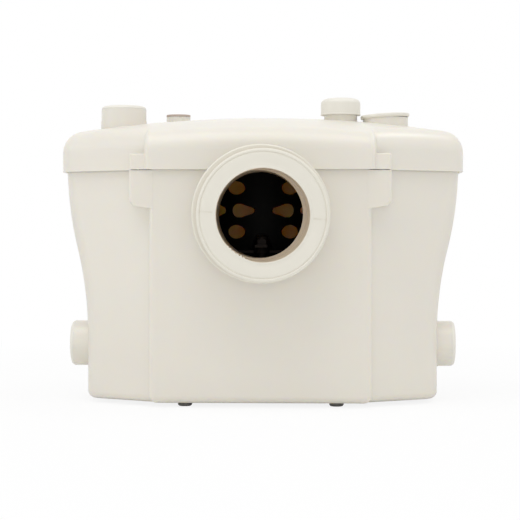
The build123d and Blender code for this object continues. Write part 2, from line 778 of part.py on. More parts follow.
with BuildPart() as impeller_nut:
    with BuildSketch(Plane.XY.offset(plate_z)):
        with Locations(stack):
            RegularPolygon(nut_radius, 6)
            Circle(thread_radius, mode=Mode.SUBTRACT)
    extrude(amount=nut_height)
keep(impeller_nut, "impeller_nut")

# Motor: flanges, can, stator, rotor, shaft, bearings, shaft seals and tie rods
bearing_radius = 14.0
bearing_height = 7.0
seal_radius = 9.0
can_wall = 2.0
stator_share = 0.6
stator_bore_radius = 27.0
winding_share = 0.125
winding_outer_radius = 44.0
winding_inner_radius = 30.0
winding_edge = 3.0
rotor_gap = 0.6
tie_rod_circle = 54.0
tie_rod_start = 45.0
tie_rod_reach = 8.0
cutter_gap = 4.0
cutter_height = 8.0
cutter_nut_height = 6.0
upper_flange_z = motor_z + motor_height
cutter_z = basket_z + plate_thickness + cutter_gap
cutter_top_z = cutter_z + cutter_height
stator_height = motor_height * stator_share
winding_height = motor_height * winding_share
stator_z = motor_z + (motor_height - stator_height) / 2
stator_top_z = stator_z + stator_height
lower_bearing_z = motor_z - bearing_height
upper_bearing_top_z = upper_flange_z + bearing_height

with BuildPart() as motor_lower_flange:
    column(stack, flange_radius, flange_low_z, motor_z)
    column(stack, seal_radius, flange_low_z, motor_z, Mode.SUBTRACT)
    column(stack, bearing_radius, lower_bearing_z, motor_z, Mode.SUBTRACT)
    with Locations((0, stack_y, flange_low_z)):
        with PolarLocations(flange_screw_circle, screw_count, start_angle=pump_screw_start):
            Cylinder(screw_radius, pump_screw_length - volute_roof, align=upright, mode=Mode.SUBTRACT)
    with Locations((0, stack_y, motor_z)):
        with PolarLocations(tie_rod_circle, screw_count, start_angle=tie_rod_start):
            Cylinder(screw_radius, 2 * tie_rod_reach, mode=Mode.SUBTRACT)
keep(motor_lower_flange, "motor_lower_flange")

with BuildPart() as motor_upper_flange:
    column(stack, flange_radius, upper_flange_z, basket_z)
    column(stack, seal_radius, upper_flange_z, basket_z, Mode.SUBTRACT)
    column(stack, bearing_radius, upper_flange_z, upper_bearing_top_z, Mode.SUBTRACT)
    with Locations((0, stack_y, upper_flange_z)):
        with PolarLocations(tie_rod_circle, screw_count, start_angle=tie_rod_start):
            Cylinder(screw_radius, flange_height, align=upright, mode=Mode.SUBTRACT)
keep(motor_upper_flange, "motor_upper_flange")

with BuildPart() as motor_can:
    column(stack, motor_radius, motor_z, upper_flange_z)
    column(stack, motor_radius - can_wall, motor_z, upper_flange_z, Mode.SUBTRACT)
keep(motor_can, "motor_can")

with BuildPart() as stator_core:
    column(stack, motor_radius - can_wall, stator_z, stator_top_z)
    column(stack, stator_bore_radius, stator_z, stator_top_z, Mode.SUBTRACT)
keep(stator_core, "stator_core")

with BuildPart() as stator_windings:
    for low, high in ((stator_z - winding_height, stator_z), (stator_top_z, stator_top_z + winding_height)):
        column(stack, winding_outer_radius, low, high)
        column(stack, winding_inner_radius, low, high, Mode.SUBTRACT)
    outer_faces = stator_windings.faces().sort_by(Axis.Z)
    fillet(outer_faces[0].edges() + outer_faces[-1].edges(), radius=winding_edge)
keep(stator_windings, "stator_windings")

with BuildPart() as rotor_core:
    column(stack, stator_bore_radius - rotor_gap, stator_z, stator_top_z)
    column(stack, shaft_radius, stator_z, stator_top_z, Mode.SUBTRACT)
keep(rotor_core, "rotor_core")

with BuildPart() as motor_shaft:
    column(stack, shaft_radius, hub_low_z, cutter_top_z)
    column(stack, thread_radius, plate_z, hub_low_z)
    column(stack, thread_radius, cutter_top_z, cutter_top_z + cutter_nut_height)
keep(motor_shaft, "motor_shaft")

with BuildPart() as bearings:
    for low in (lower_bearing_z, upper_flange_z):
        column(stack, bearing_radius, low, low + bearing_height)
        column(stack, shaft_radius + running_gap, low, low + bearing_height, Mode.SUBTRACT)
keep(bearings, "bearings")

with BuildPart() as shaft_seals:
    for low in (flange_low_z, upper_bearing_top_z):
        column(stack, seal_radius, low, low + flange_height - bearing_height)
        column(stack, shaft_radius + running_gap, low, low + flange_height - bearing_height, Mode.SUBTRACT)
keep(shaft_seals, "shaft_seals")

with BuildPart() as tie_rods:
    with PolarLocations(tie_rod_circle, screw_count, start_angle=tie_rod_start) as places:
        spots = [place.position for place in places.locations]
    for spot in spots:
        rod_length = basket_z - motor_z + tie_rod_reach
        screw_at(spot.X, stack_y + spot.Y, basket_z, rod_length)
keep(tie_rods, "tie_rods")

# Macerating basket with its window, rows of drops and ovals, cutter, nut and handle
basket_wall = 2.0
basket_lip = 3.0
lip_height = 3.0
hole_height = 13.8
oval_width = 21.0
drop_width = 25.0
drop_root_width = 3.0
drop_tip_radius = 3.2
cutter_hub_radius = 10.0
blade_width = 12.0
blade_thickness = 2.5
handle_rod_radius = 2.5
handle_rise = 18.0
handle_bend = 12.0
handle_drop = 9.0
handle_peg_radius = 1.5
nut_cap_share = 0.8
oval_angles = (34.0, 70.0, 104.0)
drop_angles = (25.0, 63.0, 99.0)
oval_row_drop = 16.0
oval_row_rise = 28.5
drop_row_rise = 5.5
oval_rows = (inlet_z - oval_row_drop, inlet_z + oval_row_rise)
drop_row = inlet_z + drop_row_rise
handle_low_z = basket_rim_z - handle_drop
handle_peg_z = handle_low_z + handle_rod_radius
handle_x = basket_radius - basket_wall - handle_rod_radius


def radial_plane(angle, z):
    """Plane on the stack's axis that faces outwards at an angle from the back, its local Y upright."""
    outwards = (sin(radians(angle)), cos(radians(angle)), 0)
    sideways = (cos(radians(angle)), -sin(radians(angle)), 0)
    return Plane(origin=(0, stack_y, z), x_dir=sideways, z_dir=outwards)


with BuildPart() as basket:
    column(stack, basket_radius, basket_z, basket_rim_z)
    column(stack, basket_radius + basket_lip, basket_rim_z - lip_height, basket_rim_z)
    column(stack, basket_radius - basket_wall, basket_z + plate_thickness, basket_rim_z, Mode.SUBTRACT)
    column(stack, cutter_hub_radius, basket_z, basket_z + plate_thickness, Mode.SUBTRACT)
    bar_y(0, inlet_z, inlet_bore / 2, front_y, stack_y - shaft_radius, Mode.SUBTRACT)
    peg_hole_radius = handle_peg_radius + running_gap
    bar_x(stack_y, handle_peg_z, peg_hole_radius, -basket_radius, basket_radius, Mode.SUBTRACT)
    for angle in oval_angles:
        for z in oval_rows:
            for turn in (-angle, angle):
                with BuildSketch(radial_plane(turn, z)):
                    Ellipse(oval_width / 2, hole_height / 2)
                extrude(amount=basket_radius + basket_wall, mode=Mode.SUBTRACT)
    root_x = (drop_width - hole_height) / 2
    tip_x = drop_width / 2 - drop_tip_radius
    for angle in drop_angles:
        for turn, side in ((-angle, 1), (angle, -1)):
            with BuildSketch(radial_plane(turn, drop_row)):
                with Locations((-side * root_x, 0), (-side * (root_x - drop_root_width), 0)):
                    Circle(hole_height / 2)
                with Locations((side * tip_x, 0)):
                    Circle(drop_tip_radius)
                make_hull()
            extrude(amount=basket_radius + basket_wall, mode=Mode.SUBTRACT)
keep(basket, "basket")

with BuildPart() as cutter_blades:
    column(stack, cutter_hub_radius, cutter_z, cutter_top_z)
    with Locations((0, stack_y, cutter_z)):
        Box(2 * cutter_radius, blade_width, blade_thickness, align=upright)
    with Locations((0, stack_y, cutter_top_z - blade_thickness)):
        Box(blade_width, 2 * (cutter_radius - blade_width), blade_thickness, align=upright)
    column(stack, shaft_radius, cutter_z, cutter_top_z, Mode.SUBTRACT)
keep(cutter_blades, "cutter_blades")

with BuildPart() as cutter_nut:
    with BuildSketch(Plane.XY.offset(cutter_top_z)):
        with Locations(stack):
            RegularPolygon(nut_radius, 6)
    extrude(amount=nut_height)
    column(stack, nut_radius * nut_cap_share, cutter_top_z + nut_height, cutter_top_z + 2 * nut_height)
    fillet(cutter_nut.faces().sort_by(Axis.Z)[-1].edges(), radius=nut_height * nut_cap_share)
    column(stack, thread_radius, cutter_top_z, cutter_top_z + cutter_nut_height, Mode.SUBTRACT)
keep(cutter_nut, "cutter_nut")

with BuildPart() as basket_handle:
    handle_high_z = basket_rim_z + handle_rise
    with BuildLine(Plane.XZ.offset(-stack_y)):
        FilletPolyline(
            (-handle_x, handle_low_z),
            (-handle_x, handle_high_z),
            (handle_x, handle_high_z),
            (handle_x, handle_low_z),
            radius=handle_bend,
        )
    with BuildSketch(Plane.XY.offset(handle_low_z)):
        with Locations((-handle_x, stack_y)):
            Circle(handle_rod_radius)
    sweep()
    for low, high in both_sides(handle_x, basket_radius):
        bar_x(stack_y, handle_peg_z, handle_peg_radius, low, high)
keep(basket_handle, "basket_handle")

# Riser: rubber elbow with two clips, pipe, valve body with its neck, flap, pin and seal ring
hose_wall = 2.5
hose_overlap = 12.0
elbow_radius = 34.0
clip_thickness = 0.8
clip_width = 6.0
clip_inset = 3.0
hose_radius = pipe_radius + hose_wall
hose_start_x = outlet_end_x - hose_overlap
hose_top_z = outlet_z + elbow_radius + hose_overlap
pipe_low_z = hose_top_z - hose_overlap
valve_drop = 32.0
valve_socket_height = 12.0
valve_socket_radius = 14.0
valve_radius = 24.0
valve_wall = 2.5
valve_height = 34.0
valve_seat_thickness = 4.0
valve_hole_radius = 9.0
neck_radius = 18.5
neck_bore_radius = 15.5
neck_top_z = discharge_z - plug_stem - valve_wall
seal_groove_depth = 1.5
seal_ring_width = 3.0
valve_z = rim_z - valve_drop
valve_floor_z = valve_z + valve_socket_height
flap_z = valve_floor_z + valve_seat_thickness + part_gap
chamber_low_z = valve_floor_z + valve_seat_thickness
shoulder_z = valve_floor_z + valve_height
pipe_high_z = valve_floor_z
riser = (discharge_x, fittings_y)
ring_z = (spigot_low_z + neck_top_z) / 2

with BuildPart() as elbow_hose:
    with BuildLine(Plane.XZ.offset(-fittings_y)):
        FilletPolyline(
            (hose_start_x, outlet_z),
            (discharge_x, outlet_z),
            (discharge_x, hose_top_z),
            radius=elbow_radius,
        )
    with BuildSketch(Plane(origin=(hose_start_x, fittings_y, outlet_z), z_dir=(1, 0, 0))):
        Circle(hose_radius)
        Circle(pipe_radius, mode=Mode.SUBTRACT)
    sweep()
keep(elbow_hose, "elbow_hose")

with BuildPart() as hose_clips:
    clip_x = hose_start_x + clip_inset
    bar_x(outlet_y, outlet_z, hose_radius + clip_thickness, clip_x, clip_x + clip_width)
    bar_x(outlet_y, outlet_z, hose_radius, clip_x, clip_x + clip_width, Mode.SUBTRACT)
    clip_z = hose_top_z - clip_inset - clip_width
    column(riser, hose_radius + clip_thickness, clip_z, clip_z + clip_width)
    column(riser, hose_radius, clip_z, clip_z + clip_width, Mode.SUBTRACT)
keep(hose_clips, "hose_clips")

with BuildPart() as riser_pipe:
    column(riser, pipe_radius, pipe_low_z, pipe_high_z)
    column(riser, pipe_bore_radius, pipe_low_z, pipe_high_z, Mode.SUBTRACT)
keep(riser_pipe, "riser_pipe")

flap_turn_x = discharge_x - valve_hole_radius - flap_barrel_radius - valve_wall
flap_turn_z = flap_z + flap_barrel_radius
lug_y = fittings_y + flap_barrel_length / 2 + part_gap

with BuildPart() as valve_body:
    column(riser, valve_socket_radius, valve_z, valve_floor_z)
    column(riser, valve_radius, valve_floor_z, shoulder_z)
    column(riser, neck_radius, shoulder_z, neck_top_z)
    column(riser, pipe_radius, valve_z, valve_floor_z, Mode.SUBTRACT)
    column(riser, valve_hole_radius, valve_floor_z, chamber_low_z, Mode.SUBTRACT)
    column(riser, valve_radius - valve_wall, chamber_low_z, shoulder_z - valve_wall, Mode.SUBTRACT)
    column(riser, neck_bore_radius, shoulder_z - valve_wall, neck_top_z, Mode.SUBTRACT)
    groove_low = ring_z - seal_ring_width / 2
    groove_high = ring_z + seal_ring_width / 2
    with BuildSketch(Plane.XY.offset(groove_low)):
        with Locations(riser):
            Circle(neck_radius)
            Circle(neck_radius - seal_groove_depth, mode=Mode.SUBTRACT)
    extrude(amount=seal_ring_width, mode=Mode.SUBTRACT)
    lug_x = (flap_turn_x - flap_barrel_radius, flap_turn_x + flap_barrel_radius)
    lug_z = (chamber_low_z, flap_turn_z + flap_barrel_radius)
    for side in (-1, 1):
        lug_near = fittings_y + side * (lug_y - fittings_y)
        lug_far = lug_near + side * flap_lug_width
        block(lug_x, sorted((lug_near, lug_far)), lug_z)
    pin_reach = flap_barrel_length / 2 + part_gap + flap_lug_width
    pin_y = (fittings_y - pin_reach, fittings_y + pin_reach)
    bar_y(flap_turn_x, flap_turn_z, flap_pin_radius, *pin_y, Mode.SUBTRACT)
keep(valve_body, "valve_body")

with BuildPart() as discharge_flap:
    column(riser, valve_hole_radius + valve_wall, flap_z, flap_z + inlet_flap_thickness)
    arm_x = (flap_turn_x, discharge_x)
    arm_y = (fittings_y - flap_barrel_length / 2, fittings_y + flap_barrel_length / 2)
    block(arm_x, arm_y, (flap_z, flap_z + inlet_flap_thickness))
    bar_y(flap_turn_x, flap_turn_z, flap_barrel_radius, *arm_y)
    bar_y(flap_turn_x, flap_turn_z, flap_pin_radius + running_gap, *arm_y, Mode.SUBTRACT)
keep(discharge_flap, "discharge_flap")

with BuildPart() as discharge_flap_pin:
    bar_y(flap_turn_x, flap_turn_z, flap_pin_radius, *pin_y)
keep(discharge_flap_pin, "discharge_flap_pin")

with BuildPart() as valve_seal_ring:
    column(riser, spigot_bore / 2 - running_gap, groove_low, groove_high)
    column(riser, neck_radius - seal_groove_depth, groove_low, groove_high, Mode.SUBTRACT)
keep(valve_seal_ring, "valve_seal_ring")

# Side inlet valves: a seat with two lugs, a pin and a flap that hangs from it and swings inwards
side_pin_z = side_inlet_z + flap_pin_rise
seat_inner_x = base_half - wall - seat_ring_length
side_pin_x = seat_inner_x - part_gap - flap_barrel_radius
side_flap_x = (seat_inner_x - part_gap - inlet_flap_thickness, seat_inner_x - part_gap)


def mirrored(limits, side):
    """X limits of a piece of the right side, or of its mirror image."""
    return sorted((side * limits[0], side * limits[1]))


with BuildPart() as side_valve_seats:
    for side in (-1, 1):
        seat_x = mirrored((seat_inner_x, base_half - wall), side)
        bar_x(fittings_y, side_inlet_z, seat_ring_radius, *seat_x)
        bar_x(fittings_y, side_inlet_z, spigot_bore / 2, *seat_x, Mode.SUBTRACT)
        lug_x = mirrored((side_pin_x - flap_barrel_radius, seat_inner_x + flap_barrel_radius), side)
        lug_z = (side_pin_z - flap_barrel_radius, side_pin_z + flap_barrel_radius)
        for lug_side in (-1, 1):
            lug_near = fittings_y + lug_side * (lug_y - fittings_y)
            block(lug_x, sorted((lug_near, lug_near + lug_side * flap_lug_width)), lug_z)
        bar_y(side * side_pin_x, side_pin_z, flap_pin_radius, *pin_y, Mode.SUBTRACT)
keep(side_valve_seats, "side_valve_seats")

with BuildPart() as side_flap_pins:
    for side in (-1, 1):
        bar_y(side * side_pin_x, side_pin_z, flap_pin_radius, *pin_y)
keep(side_flap_pins, "side_flap_pins")

for label, side in (("side_flap_left", -1), ("side_flap_right", 1)):
    flap_x = mirrored(side_flap_x, side)
    with BuildPart() as side_flap:
        bar_x(fittings_y, side_inlet_z, inlet_flap_radius, *flap_x)
        block(flap_x, arm_y, (side_inlet_z, side_pin_z))
        bar_y(side * side_pin_x, side_pin_z, flap_barrel_radius, *arm_y)
        bar_y(side * side_pin_x, side_pin_z, flap_pin_radius + running_gap, *arm_y, Mode.SUBTRACT)
    keep(side_flap, label)

# Level switch: air bell, diaphragm and its cap, plunger, lever and micro switch
bell_bore_radius = 12.5
bell_low_z = 16.0
bell_flange_radius = 24.0
diaphragm_thickness = 2.0
cap_height = 12.0
cap_wall = 4.0
plunger_radius = 4.0
plunger_disc_radius = 12.0
plunger_disc_height = 2.5
plunger_length = 18.0
plunger_tip_radius = 1.5
switch_height = 15.0
switch_half_depth = 5.0
switch_leg_thickness = 3.0
switch_left = 17.0
switch_right = 12.0
lever_rise = 5.5
lever_thickness = 1.0
lever_reach = 14.0
lever_barrel_radius = 2.0
lever_pin_radius = 1.0
lever_lug_thickness = 2.0
switch_at = (switch_x, switch_y)
diaphragm_z = tray_z + tray_thickness
cap_z = diaphragm_z + diaphragm_thickness
cap_top_z = cap_z + cap_height
plunger_top_z = cap_z + plunger_length
lever_z = plunger_top_z + part_gap
lever_pivot_x = switch_x - lever_reach
lever_pivot_z = lever_z + lever_barrel_radius
switch_low_z = lever_z + lever_thickness + lever_rise
switch_span = (switch_x - switch_left, switch_x + switch_right)

with BuildPart() as switch_tray:
    block(tray_span, (front_y + tray_front_depth, back_y - wall), (tray_low_z, tray_z))
    column(switch_at, bell_radius, tray_low_z, tray_z, Mode.SUBTRACT)
    for x in ledge_xs:
        column((x, tray_screw_y), screw_radius, tray_low_z, tray_z, Mode.SUBTRACT)
keep(switch_tray, "switch_tray")

with BuildPart() as tray_screws:
    for x in ledge_xs:
        screw_at(x, tray_screw_y, tray_z, tray_thickness + ledge_height / 2)
keep(tray_screws, "tray_screws")

with BuildPart() as air_bell:
    column(switch_at, bell_radius, bell_low_z, tray_z)
    column(switch_at, bell_flange_radius, tray_z, diaphragm_z)
    column(switch_at, bell_bore_radius, bell_low_z, diaphragm_z, Mode.SUBTRACT)
keep(air_bell, "air_bell")

with BuildPart() as diaphragm:
    column(switch_at, bell_flange_radius, diaphragm_z, cap_z)
keep(diaphragm, "diaphragm")

with BuildPart() as diaphragm_cap:
    column(switch_at, bell_flange_radius, cap_z, cap_top_z)
    column(switch_at, bell_flange_radius - cap_wall, cap_z, cap_top_z - cap_wall, Mode.SUBTRACT)
    column(switch_at, plunger_radius + slide_gap, cap_z, cap_top_z, Mode.SUBTRACT)
keep(diaphragm_cap, "diaphragm_cap")

with BuildPart() as switch_plunger:
    column(switch_at, plunger_disc_radius, cap_z, cap_z + plunger_disc_height)
    column(switch_at, plunger_radius, cap_z, plunger_top_z - plunger_tip_radius)
    column(switch_at, plunger_tip_radius, cap_z, plunger_top_z)
keep(switch_plunger, "switch_plunger")

with BuildPart() as micro_switch:
    switch_depth_span = (switch_y - switch_half_depth, switch_y + switch_half_depth)
    block(switch_span, switch_depth_span, (switch_low_z, switch_low_z + switch_height))
    leg_y = (switch_y + switch_half_depth, switch_y + switch_half_depth + switch_leg_thickness)
    block(switch_span, leg_y, (cap_top_z, switch_low_z + switch_height))
    for side in (-1, 1):
        near = switch_y + side * switch_half_depth
        far = near - side * lever_lug_thickness
        lug_x = (lever_pivot_x - lever_barrel_radius, lever_pivot_x + lever_barrel_radius)
        block(lug_x, sorted((near, far)), (lever_z, switch_low_z))
    bar_y(lever_pivot_x, lever_pivot_z, lever_pin_radius, *switch_depth_span)
keep(micro_switch, "micro_switch")

with BuildPart() as switch_lever:
    half = switch_half_depth - lever_lug_thickness - slide_gap
    lever_y = (switch_y - half, switch_y + half)
    block((lever_pivot_x, switch_x + switch_right), lever_y, (lever_z, lever_z + lever_thickness))
    bar_y(lever_pivot_x, lever_pivot_z, lever_barrel_radius, *lever_y)
    bar_y(lever_pivot_x, lever_pivot_z, lever_pin_radius + running_gap, *lever_y, Mode.SUBTRACT)
keep(switch_lever, "switch_lever")

# Electrics: cover on the shelf, circuit board on its spacers, capacitor and terminal block
cover_inset = 2.0
cover_depth = 32.0
cover_height = 30.0
cover_wall = 2.0
cover_lap = 5.0
board_thickness = 1.6
board_rise = 4.0
board_margin = 2.0
spacer_radius = 2.5
capacitor_radius = 7.0
capacitor_length = 34.0
terminal_size = (24.0, 9.0, 10.0)
cover_x = (tray_span[0] + cover_inset, tray_span[1] - cover_inset)
cover_y = (ledge_y + cover_lap - cover_depth, ledge_y + cover_lap)
board_x = (cover_x[0] + cover_wall + board_margin, cover_x[1] - cover_wall - board_margin)
board_y = (cover_y[0] + cover_wall + board_margin, cover_y[1] - cover_wall - board_margin)
board_z = tray_z + board_rise
board_top_z = board_z + board_thickness
capacitor_y = board_y[1] - capacitor_radius
terminal_x = board_x[0] + terminal_size[0] / 2
terminal_y = board_y[0] + terminal_size[1] / 2

with BuildPart() as electrics_cover:
    block(cover_x, cover_y, (tray_z, tray_z + cover_height))
    inside_x = (cover_x[0] + cover_wall, cover_x[1] - cover_wall)
    inside_y = (cover_y[0] + cover_wall, cover_y[1] - cover_wall)
    block(inside_x, inside_y, (tray_z, tray_z + cover_height - cover_wall), Mode.SUBTRACT)
keep(electrics_cover, "electrics_cover")

with BuildPart() as circuit_board:
    block(board_x, board_y, (board_z, board_top_z))
    for x in (board_x[0] + spacer_radius, board_x[1] - spacer_radius):
        for y in (board_y[0] + spacer_radius, board_y[1] - spacer_radius):
            column((x, y), spacer_radius, tray_z, board_z)
keep(circuit_board, "circuit_board")

with BuildPart() as capacitor:
    capacitor_x = (board_x[1] - capacitor_length, board_x[1])
    bar_x(capacitor_y, board_top_z + capacitor_radius, capacitor_radius, *capacitor_x)
keep(capacitor, "capacitor")

with BuildPart() as terminal_block:
    with Locations((terminal_x, terminal_y, board_top_z)):
        Box(*terminal_size, align=upright)
keep(terminal_block, "terminal_block")
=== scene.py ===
import json
import math

import bpy
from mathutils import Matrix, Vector


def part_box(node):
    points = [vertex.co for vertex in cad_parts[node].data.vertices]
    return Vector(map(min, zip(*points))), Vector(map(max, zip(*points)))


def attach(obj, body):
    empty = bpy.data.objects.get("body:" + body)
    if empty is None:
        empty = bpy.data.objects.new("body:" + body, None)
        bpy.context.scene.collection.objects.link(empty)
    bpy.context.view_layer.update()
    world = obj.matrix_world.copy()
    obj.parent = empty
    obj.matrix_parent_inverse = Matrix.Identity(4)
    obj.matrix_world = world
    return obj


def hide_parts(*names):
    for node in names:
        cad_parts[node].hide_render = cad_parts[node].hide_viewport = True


# A macerator toilet pump in cream plastic, seen from the side of its waste inlet
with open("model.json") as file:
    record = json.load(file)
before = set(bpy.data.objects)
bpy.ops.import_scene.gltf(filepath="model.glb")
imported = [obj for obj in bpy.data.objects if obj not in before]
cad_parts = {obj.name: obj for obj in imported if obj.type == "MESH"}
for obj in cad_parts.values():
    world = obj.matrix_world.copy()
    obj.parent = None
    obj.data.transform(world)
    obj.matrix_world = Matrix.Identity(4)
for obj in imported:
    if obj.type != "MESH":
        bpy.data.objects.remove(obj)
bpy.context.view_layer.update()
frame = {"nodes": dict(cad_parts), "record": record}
nodes = frame["nodes"]
print("frame loaded:", len(nodes), "nodes")

# Places that several pieces share, from the frame
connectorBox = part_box("wc_connector")
connectorCentre = (connectorBox[0] + connectorBox[1]) / 2
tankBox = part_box("tank")


# Steps that the materials share
def newMaterial(name):
    material = bpy.data.materials.new(name)
    material.use_nodes = True
    tree = material.node_tree
    shader = tree.nodes["Principled BSDF"]
    place = tree.nodes.new("ShaderNodeTexCoord")
    return material, tree, shader, place.outputs["Object"]


def addNoise(tree, place, scale, detail, stretch=(1, 1, 1)):
    mapping = tree.nodes.new("ShaderNodeMapping")
    mapping.inputs["Scale"].default_value = stretch
    noise = tree.nodes.new("ShaderNodeTexNoise")
    noise.inputs["Scale"].default_value = scale
    noise.inputs["Detail"].default_value = detail
    tree.links.new(place, mapping.inputs["Vector"])
    tree.links.new(mapping.outputs["Vector"], noise.inputs["Vector"])
    return noise.outputs["Fac"]


def addRamp(tree, share, start, end):
    # each end is a position and a colour
    ramp = tree.nodes.new("ShaderNodeValToRGB")
    for element, (position, colour) in zip(ramp.color_ramp.elements, (start, end)):
        element.position = position
        element.color = (*colour, 1)
    tree.links.new(share, ramp.inputs["Fac"])
    return ramp.outputs["Color"]


def addSpan(tree, value, low, high, source=(0, 1)):
    # the source's span becomes low to high
    span = tree.nodes.new("ShaderNodeMapRange")
    span.inputs["From Min"].default_value, span.inputs["From Max"].default_value = source
    span.inputs["To Min"].default_value = low
    span.inputs["To Max"].default_value = high
    tree.links.new(value, span.inputs["Value"])
    return span.outputs["Result"]


def addMaths(tree, operation, first, second):
    node = tree.nodes.new("ShaderNodeMath")
    node.operation = operation
    tree.links.new(first, node.inputs[0])
    if isinstance(second, bpy.types.NodeSocket):
        tree.links.new(second, node.inputs[1])
    else:
        node.inputs[1].default_value = second
    return node.outputs["Value"]


def addVectorMaths(tree, operation, first, second=None):
    node = tree.nodes.new("ShaderNodeVectorMath")
    node.operation = operation
    tree.links.new(first, node.inputs[0])
    if isinstance(second, bpy.types.NodeSocket):
        tree.links.new(second, node.inputs[1])
    elif second is not None:
        node.inputs[1].default_value = second
    return node.outputs["Value" if operation in ("LENGTH", "DOT_PRODUCT") else "Vector"]


def addArm(tree, place, centre, plane):
    # the arm from a centre to the surface, laid flat in a plane
    return addVectorMaths(tree, "MULTIPLY", addVectorMaths(tree, "SUBTRACT", place, centre), plane)


def addFacing(tree, arm, span):
    # 0 where a surface looks back along its arm, 1 where it looks elsewhere
    looking = tree.nodes.new("ShaderNodeTexCoord").outputs["Normal"]
    unit = addVectorMaths(tree, "NORMALIZE", arm)
    return addSpan(tree, addVectorMaths(tree, "DOT_PRODUCT", unit, looking), 0, 1, span)


def addHeight(tree, place, axis, limit):
    # 1 past a limit along one axis
    split = tree.nodes.new("ShaderNodeSeparateXYZ")
    tree.links.new(place, split.inputs["Vector"])
    return addMaths(tree, "GREATER_THAN", split.outputs[axis], limit)


def addTint(tree, share, tint, surface):
    # the tint shows where the share is 0
    mix = tree.nodes.new("ShaderNodeMix")
    mix.data_type = "RGBA"
    mix.inputs["A"].default_value = (*tint, 1)
    tree.links.new(share, mix.inputs["Factor"])
    tree.links.new(surface, mix.inputs["B"])
    return mix.outputs["Result"]


def addBump(tree, shader, height, strength, distance):
    bump = tree.nodes.new("ShaderNodeBump")
    bump.inputs["Strength"].default_value = strength
    bump.inputs["Distance"].default_value = distance
    tree.links.new(height, bump.inputs["Height"])
    tree.links.new(bump.outputs["Normal"], shader.inputs["Normal"])


def addPaintedShade(tree, surface, look):
    # painted shade: corners and hollows that little light reaches, found by ambient occlusion, are tinted
    # deeper and warmer
    nook = tree.nodes.new("ShaderNodeAmbientOcclusion")
    nook.samples = look["paintedShadeSamples"]
    nook.inputs["Distance"].default_value = look["paintedShadeReach"]
    depth = addSpan(tree, nook.outputs["AO"], 0, 1, look["paintedShadeSpan"])
    return addTint(tree, depth, look["paintedShade"], surface)


def addBorePaintedShade(tree, place, surface, look):
    # painted shade: near the inlet's axis, rubber that faces it, or all of the tank's spigot, is tinted deeper
    # in tone for the shade down the bore
    arm = addArm(tree, place, look["boreCentre"], (1, 0, 1))
    beyond = addMaths(tree, "GREATER_THAN", addVectorMaths(tree, "LENGTH", arm), look["boreRadius"])
    if "boreBack" in look:
        elsewhere = addHeight(tree, place, "Y", look["boreBack"])
    else:
        elsewhere = addFacing(tree, arm, look["boreFacing"])
    return addTint(tree, addMaths(tree, "MAXIMUM", elsewhere, beyond), look["borePaintedShade"], surface)


def addInsidePaintedShade(tree, shader, place, surface, look):
    # the tank's inner walls, which show through the basket, are dull and lit through the thin plastic; their
    # colour is painted shade, darker and yellower than the outside
    facing = addFacing(tree, addArm(tree, place, look["insideCentre"], (1, 1, 0)), look["insideFacing"])
    outside = addMaths(tree, "MAXIMUM", facing, addHeight(tree, place, "Z", look["insideTop"]))
    sheen = addSpan(tree, outside, look["insideSpecular"], look["specular"])
    tree.links.new(sheen, shader.inputs["Specular IOR Level"])
    through = addSpan(tree, outside, look["insideSubsurface"], look["subsurface"])
    tree.links.new(through, shader.inputs["Subsurface Weight"])
    return addTint(tree, outside, look["insidePaintedShade"], surface)


def shade(colour, amount):
    return tuple(min(1, channel * amount) for channel in colour)


# Moulded plastic and rubber: slow drift of colour, uneven gloss, fine grain, and painted shade in hollows, on
# inner walls and in bores where a look asks for it
def mouldedMaterial(name, look):
    material, tree, shader, place = newMaterial(name)
    drift = addNoise(tree, place, look["driftScale"], look["driftDetail"])
    start, end = look["driftSpan"]
    pale, deep = shade(look["colour"], 1 + look["drift"]), shade(look["colour"], 1 - look["drift"])
    surface = addRamp(tree, drift, (start, deep), (end, pale))
    if "paintedShade" in look:
        surface = addPaintedShade(tree, surface, look)
    if "insidePaintedShade" in look:
        surface = addInsidePaintedShade(tree, shader, place, surface, look)
    if "borePaintedShade" in look:
        surface = addBorePaintedShade(tree, place, surface, look)
    tree.links.new(surface, shader.inputs["Base Color"])
    gloss = addNoise(tree, place, look["glossScale"], look["glossDetail"])
    spread = look["glossSpread"]
    rough = addSpan(tree, gloss, look["roughness"] - spread, look["roughness"] + spread)
    tree.links.new(rough, shader.inputs["Roughness"])
    grain = addNoise(tree, place, look["grainScale"], look["grainDetail"])
    addBump(tree, shader, grain, look["grain"], look["grainDepth"])
    shader.inputs["Specular IOR Level"].default_value = look["specular"]
    shader.inputs["Subsurface Weight"].default_value = look["subsurface"]
    shader.inputs["Subsurface Radius"].default_value = look["bleed"]
    shader.inputs["Subsurface Scale"].default_value = 1.0
    return material


shellLook = {
    "colour": (0.800, 0.761, 0.683),
    "drift": 0.012,
    "driftScale": 9.0,
    "driftDetail": 2.0,
    "driftSpan": (0.3, 0.7),
    "roughness": 0.30,
    "glossScale": 40.0,
    "glossDetail": 4.0,
    "glossSpread": 0.04,
    "grain": 0.06,
    "grainScale": 900.0,
    "grainDetail": 2.0,
    "grainDepth": 0.0002,
    "specular": 0.5,
    "subsurface": 0.0,
    "bleed": (0.004, 0.003, 0.002),
}
shellGlow = {"subsurface": 0.25, "bleed": (0.0050, 0.0034, 0.0012)}
tankInside = {
    # painted shade: the darker, yellower tone of the tank's inner walls
    "insidePaintedShade": (0.66, 0.66, 0.48),
    "insideCentre": (0, 0.02, 0),
    "insideFacing": (-0.2, -0.1),
    "insideTop": 0.2345,
    "insideSpecular": 0.03,
    "insideSubsurface": 1.0,
}
spigotBore = {
    # painted shade down the tank's spigot bore
    "borePaintedShade": (0.52, 0.43, 0.32),
    "boreCentre": (0, 0, connectorCentre.z),
    "boreRadius": 0.0455,
    "boreBack": 0,
}
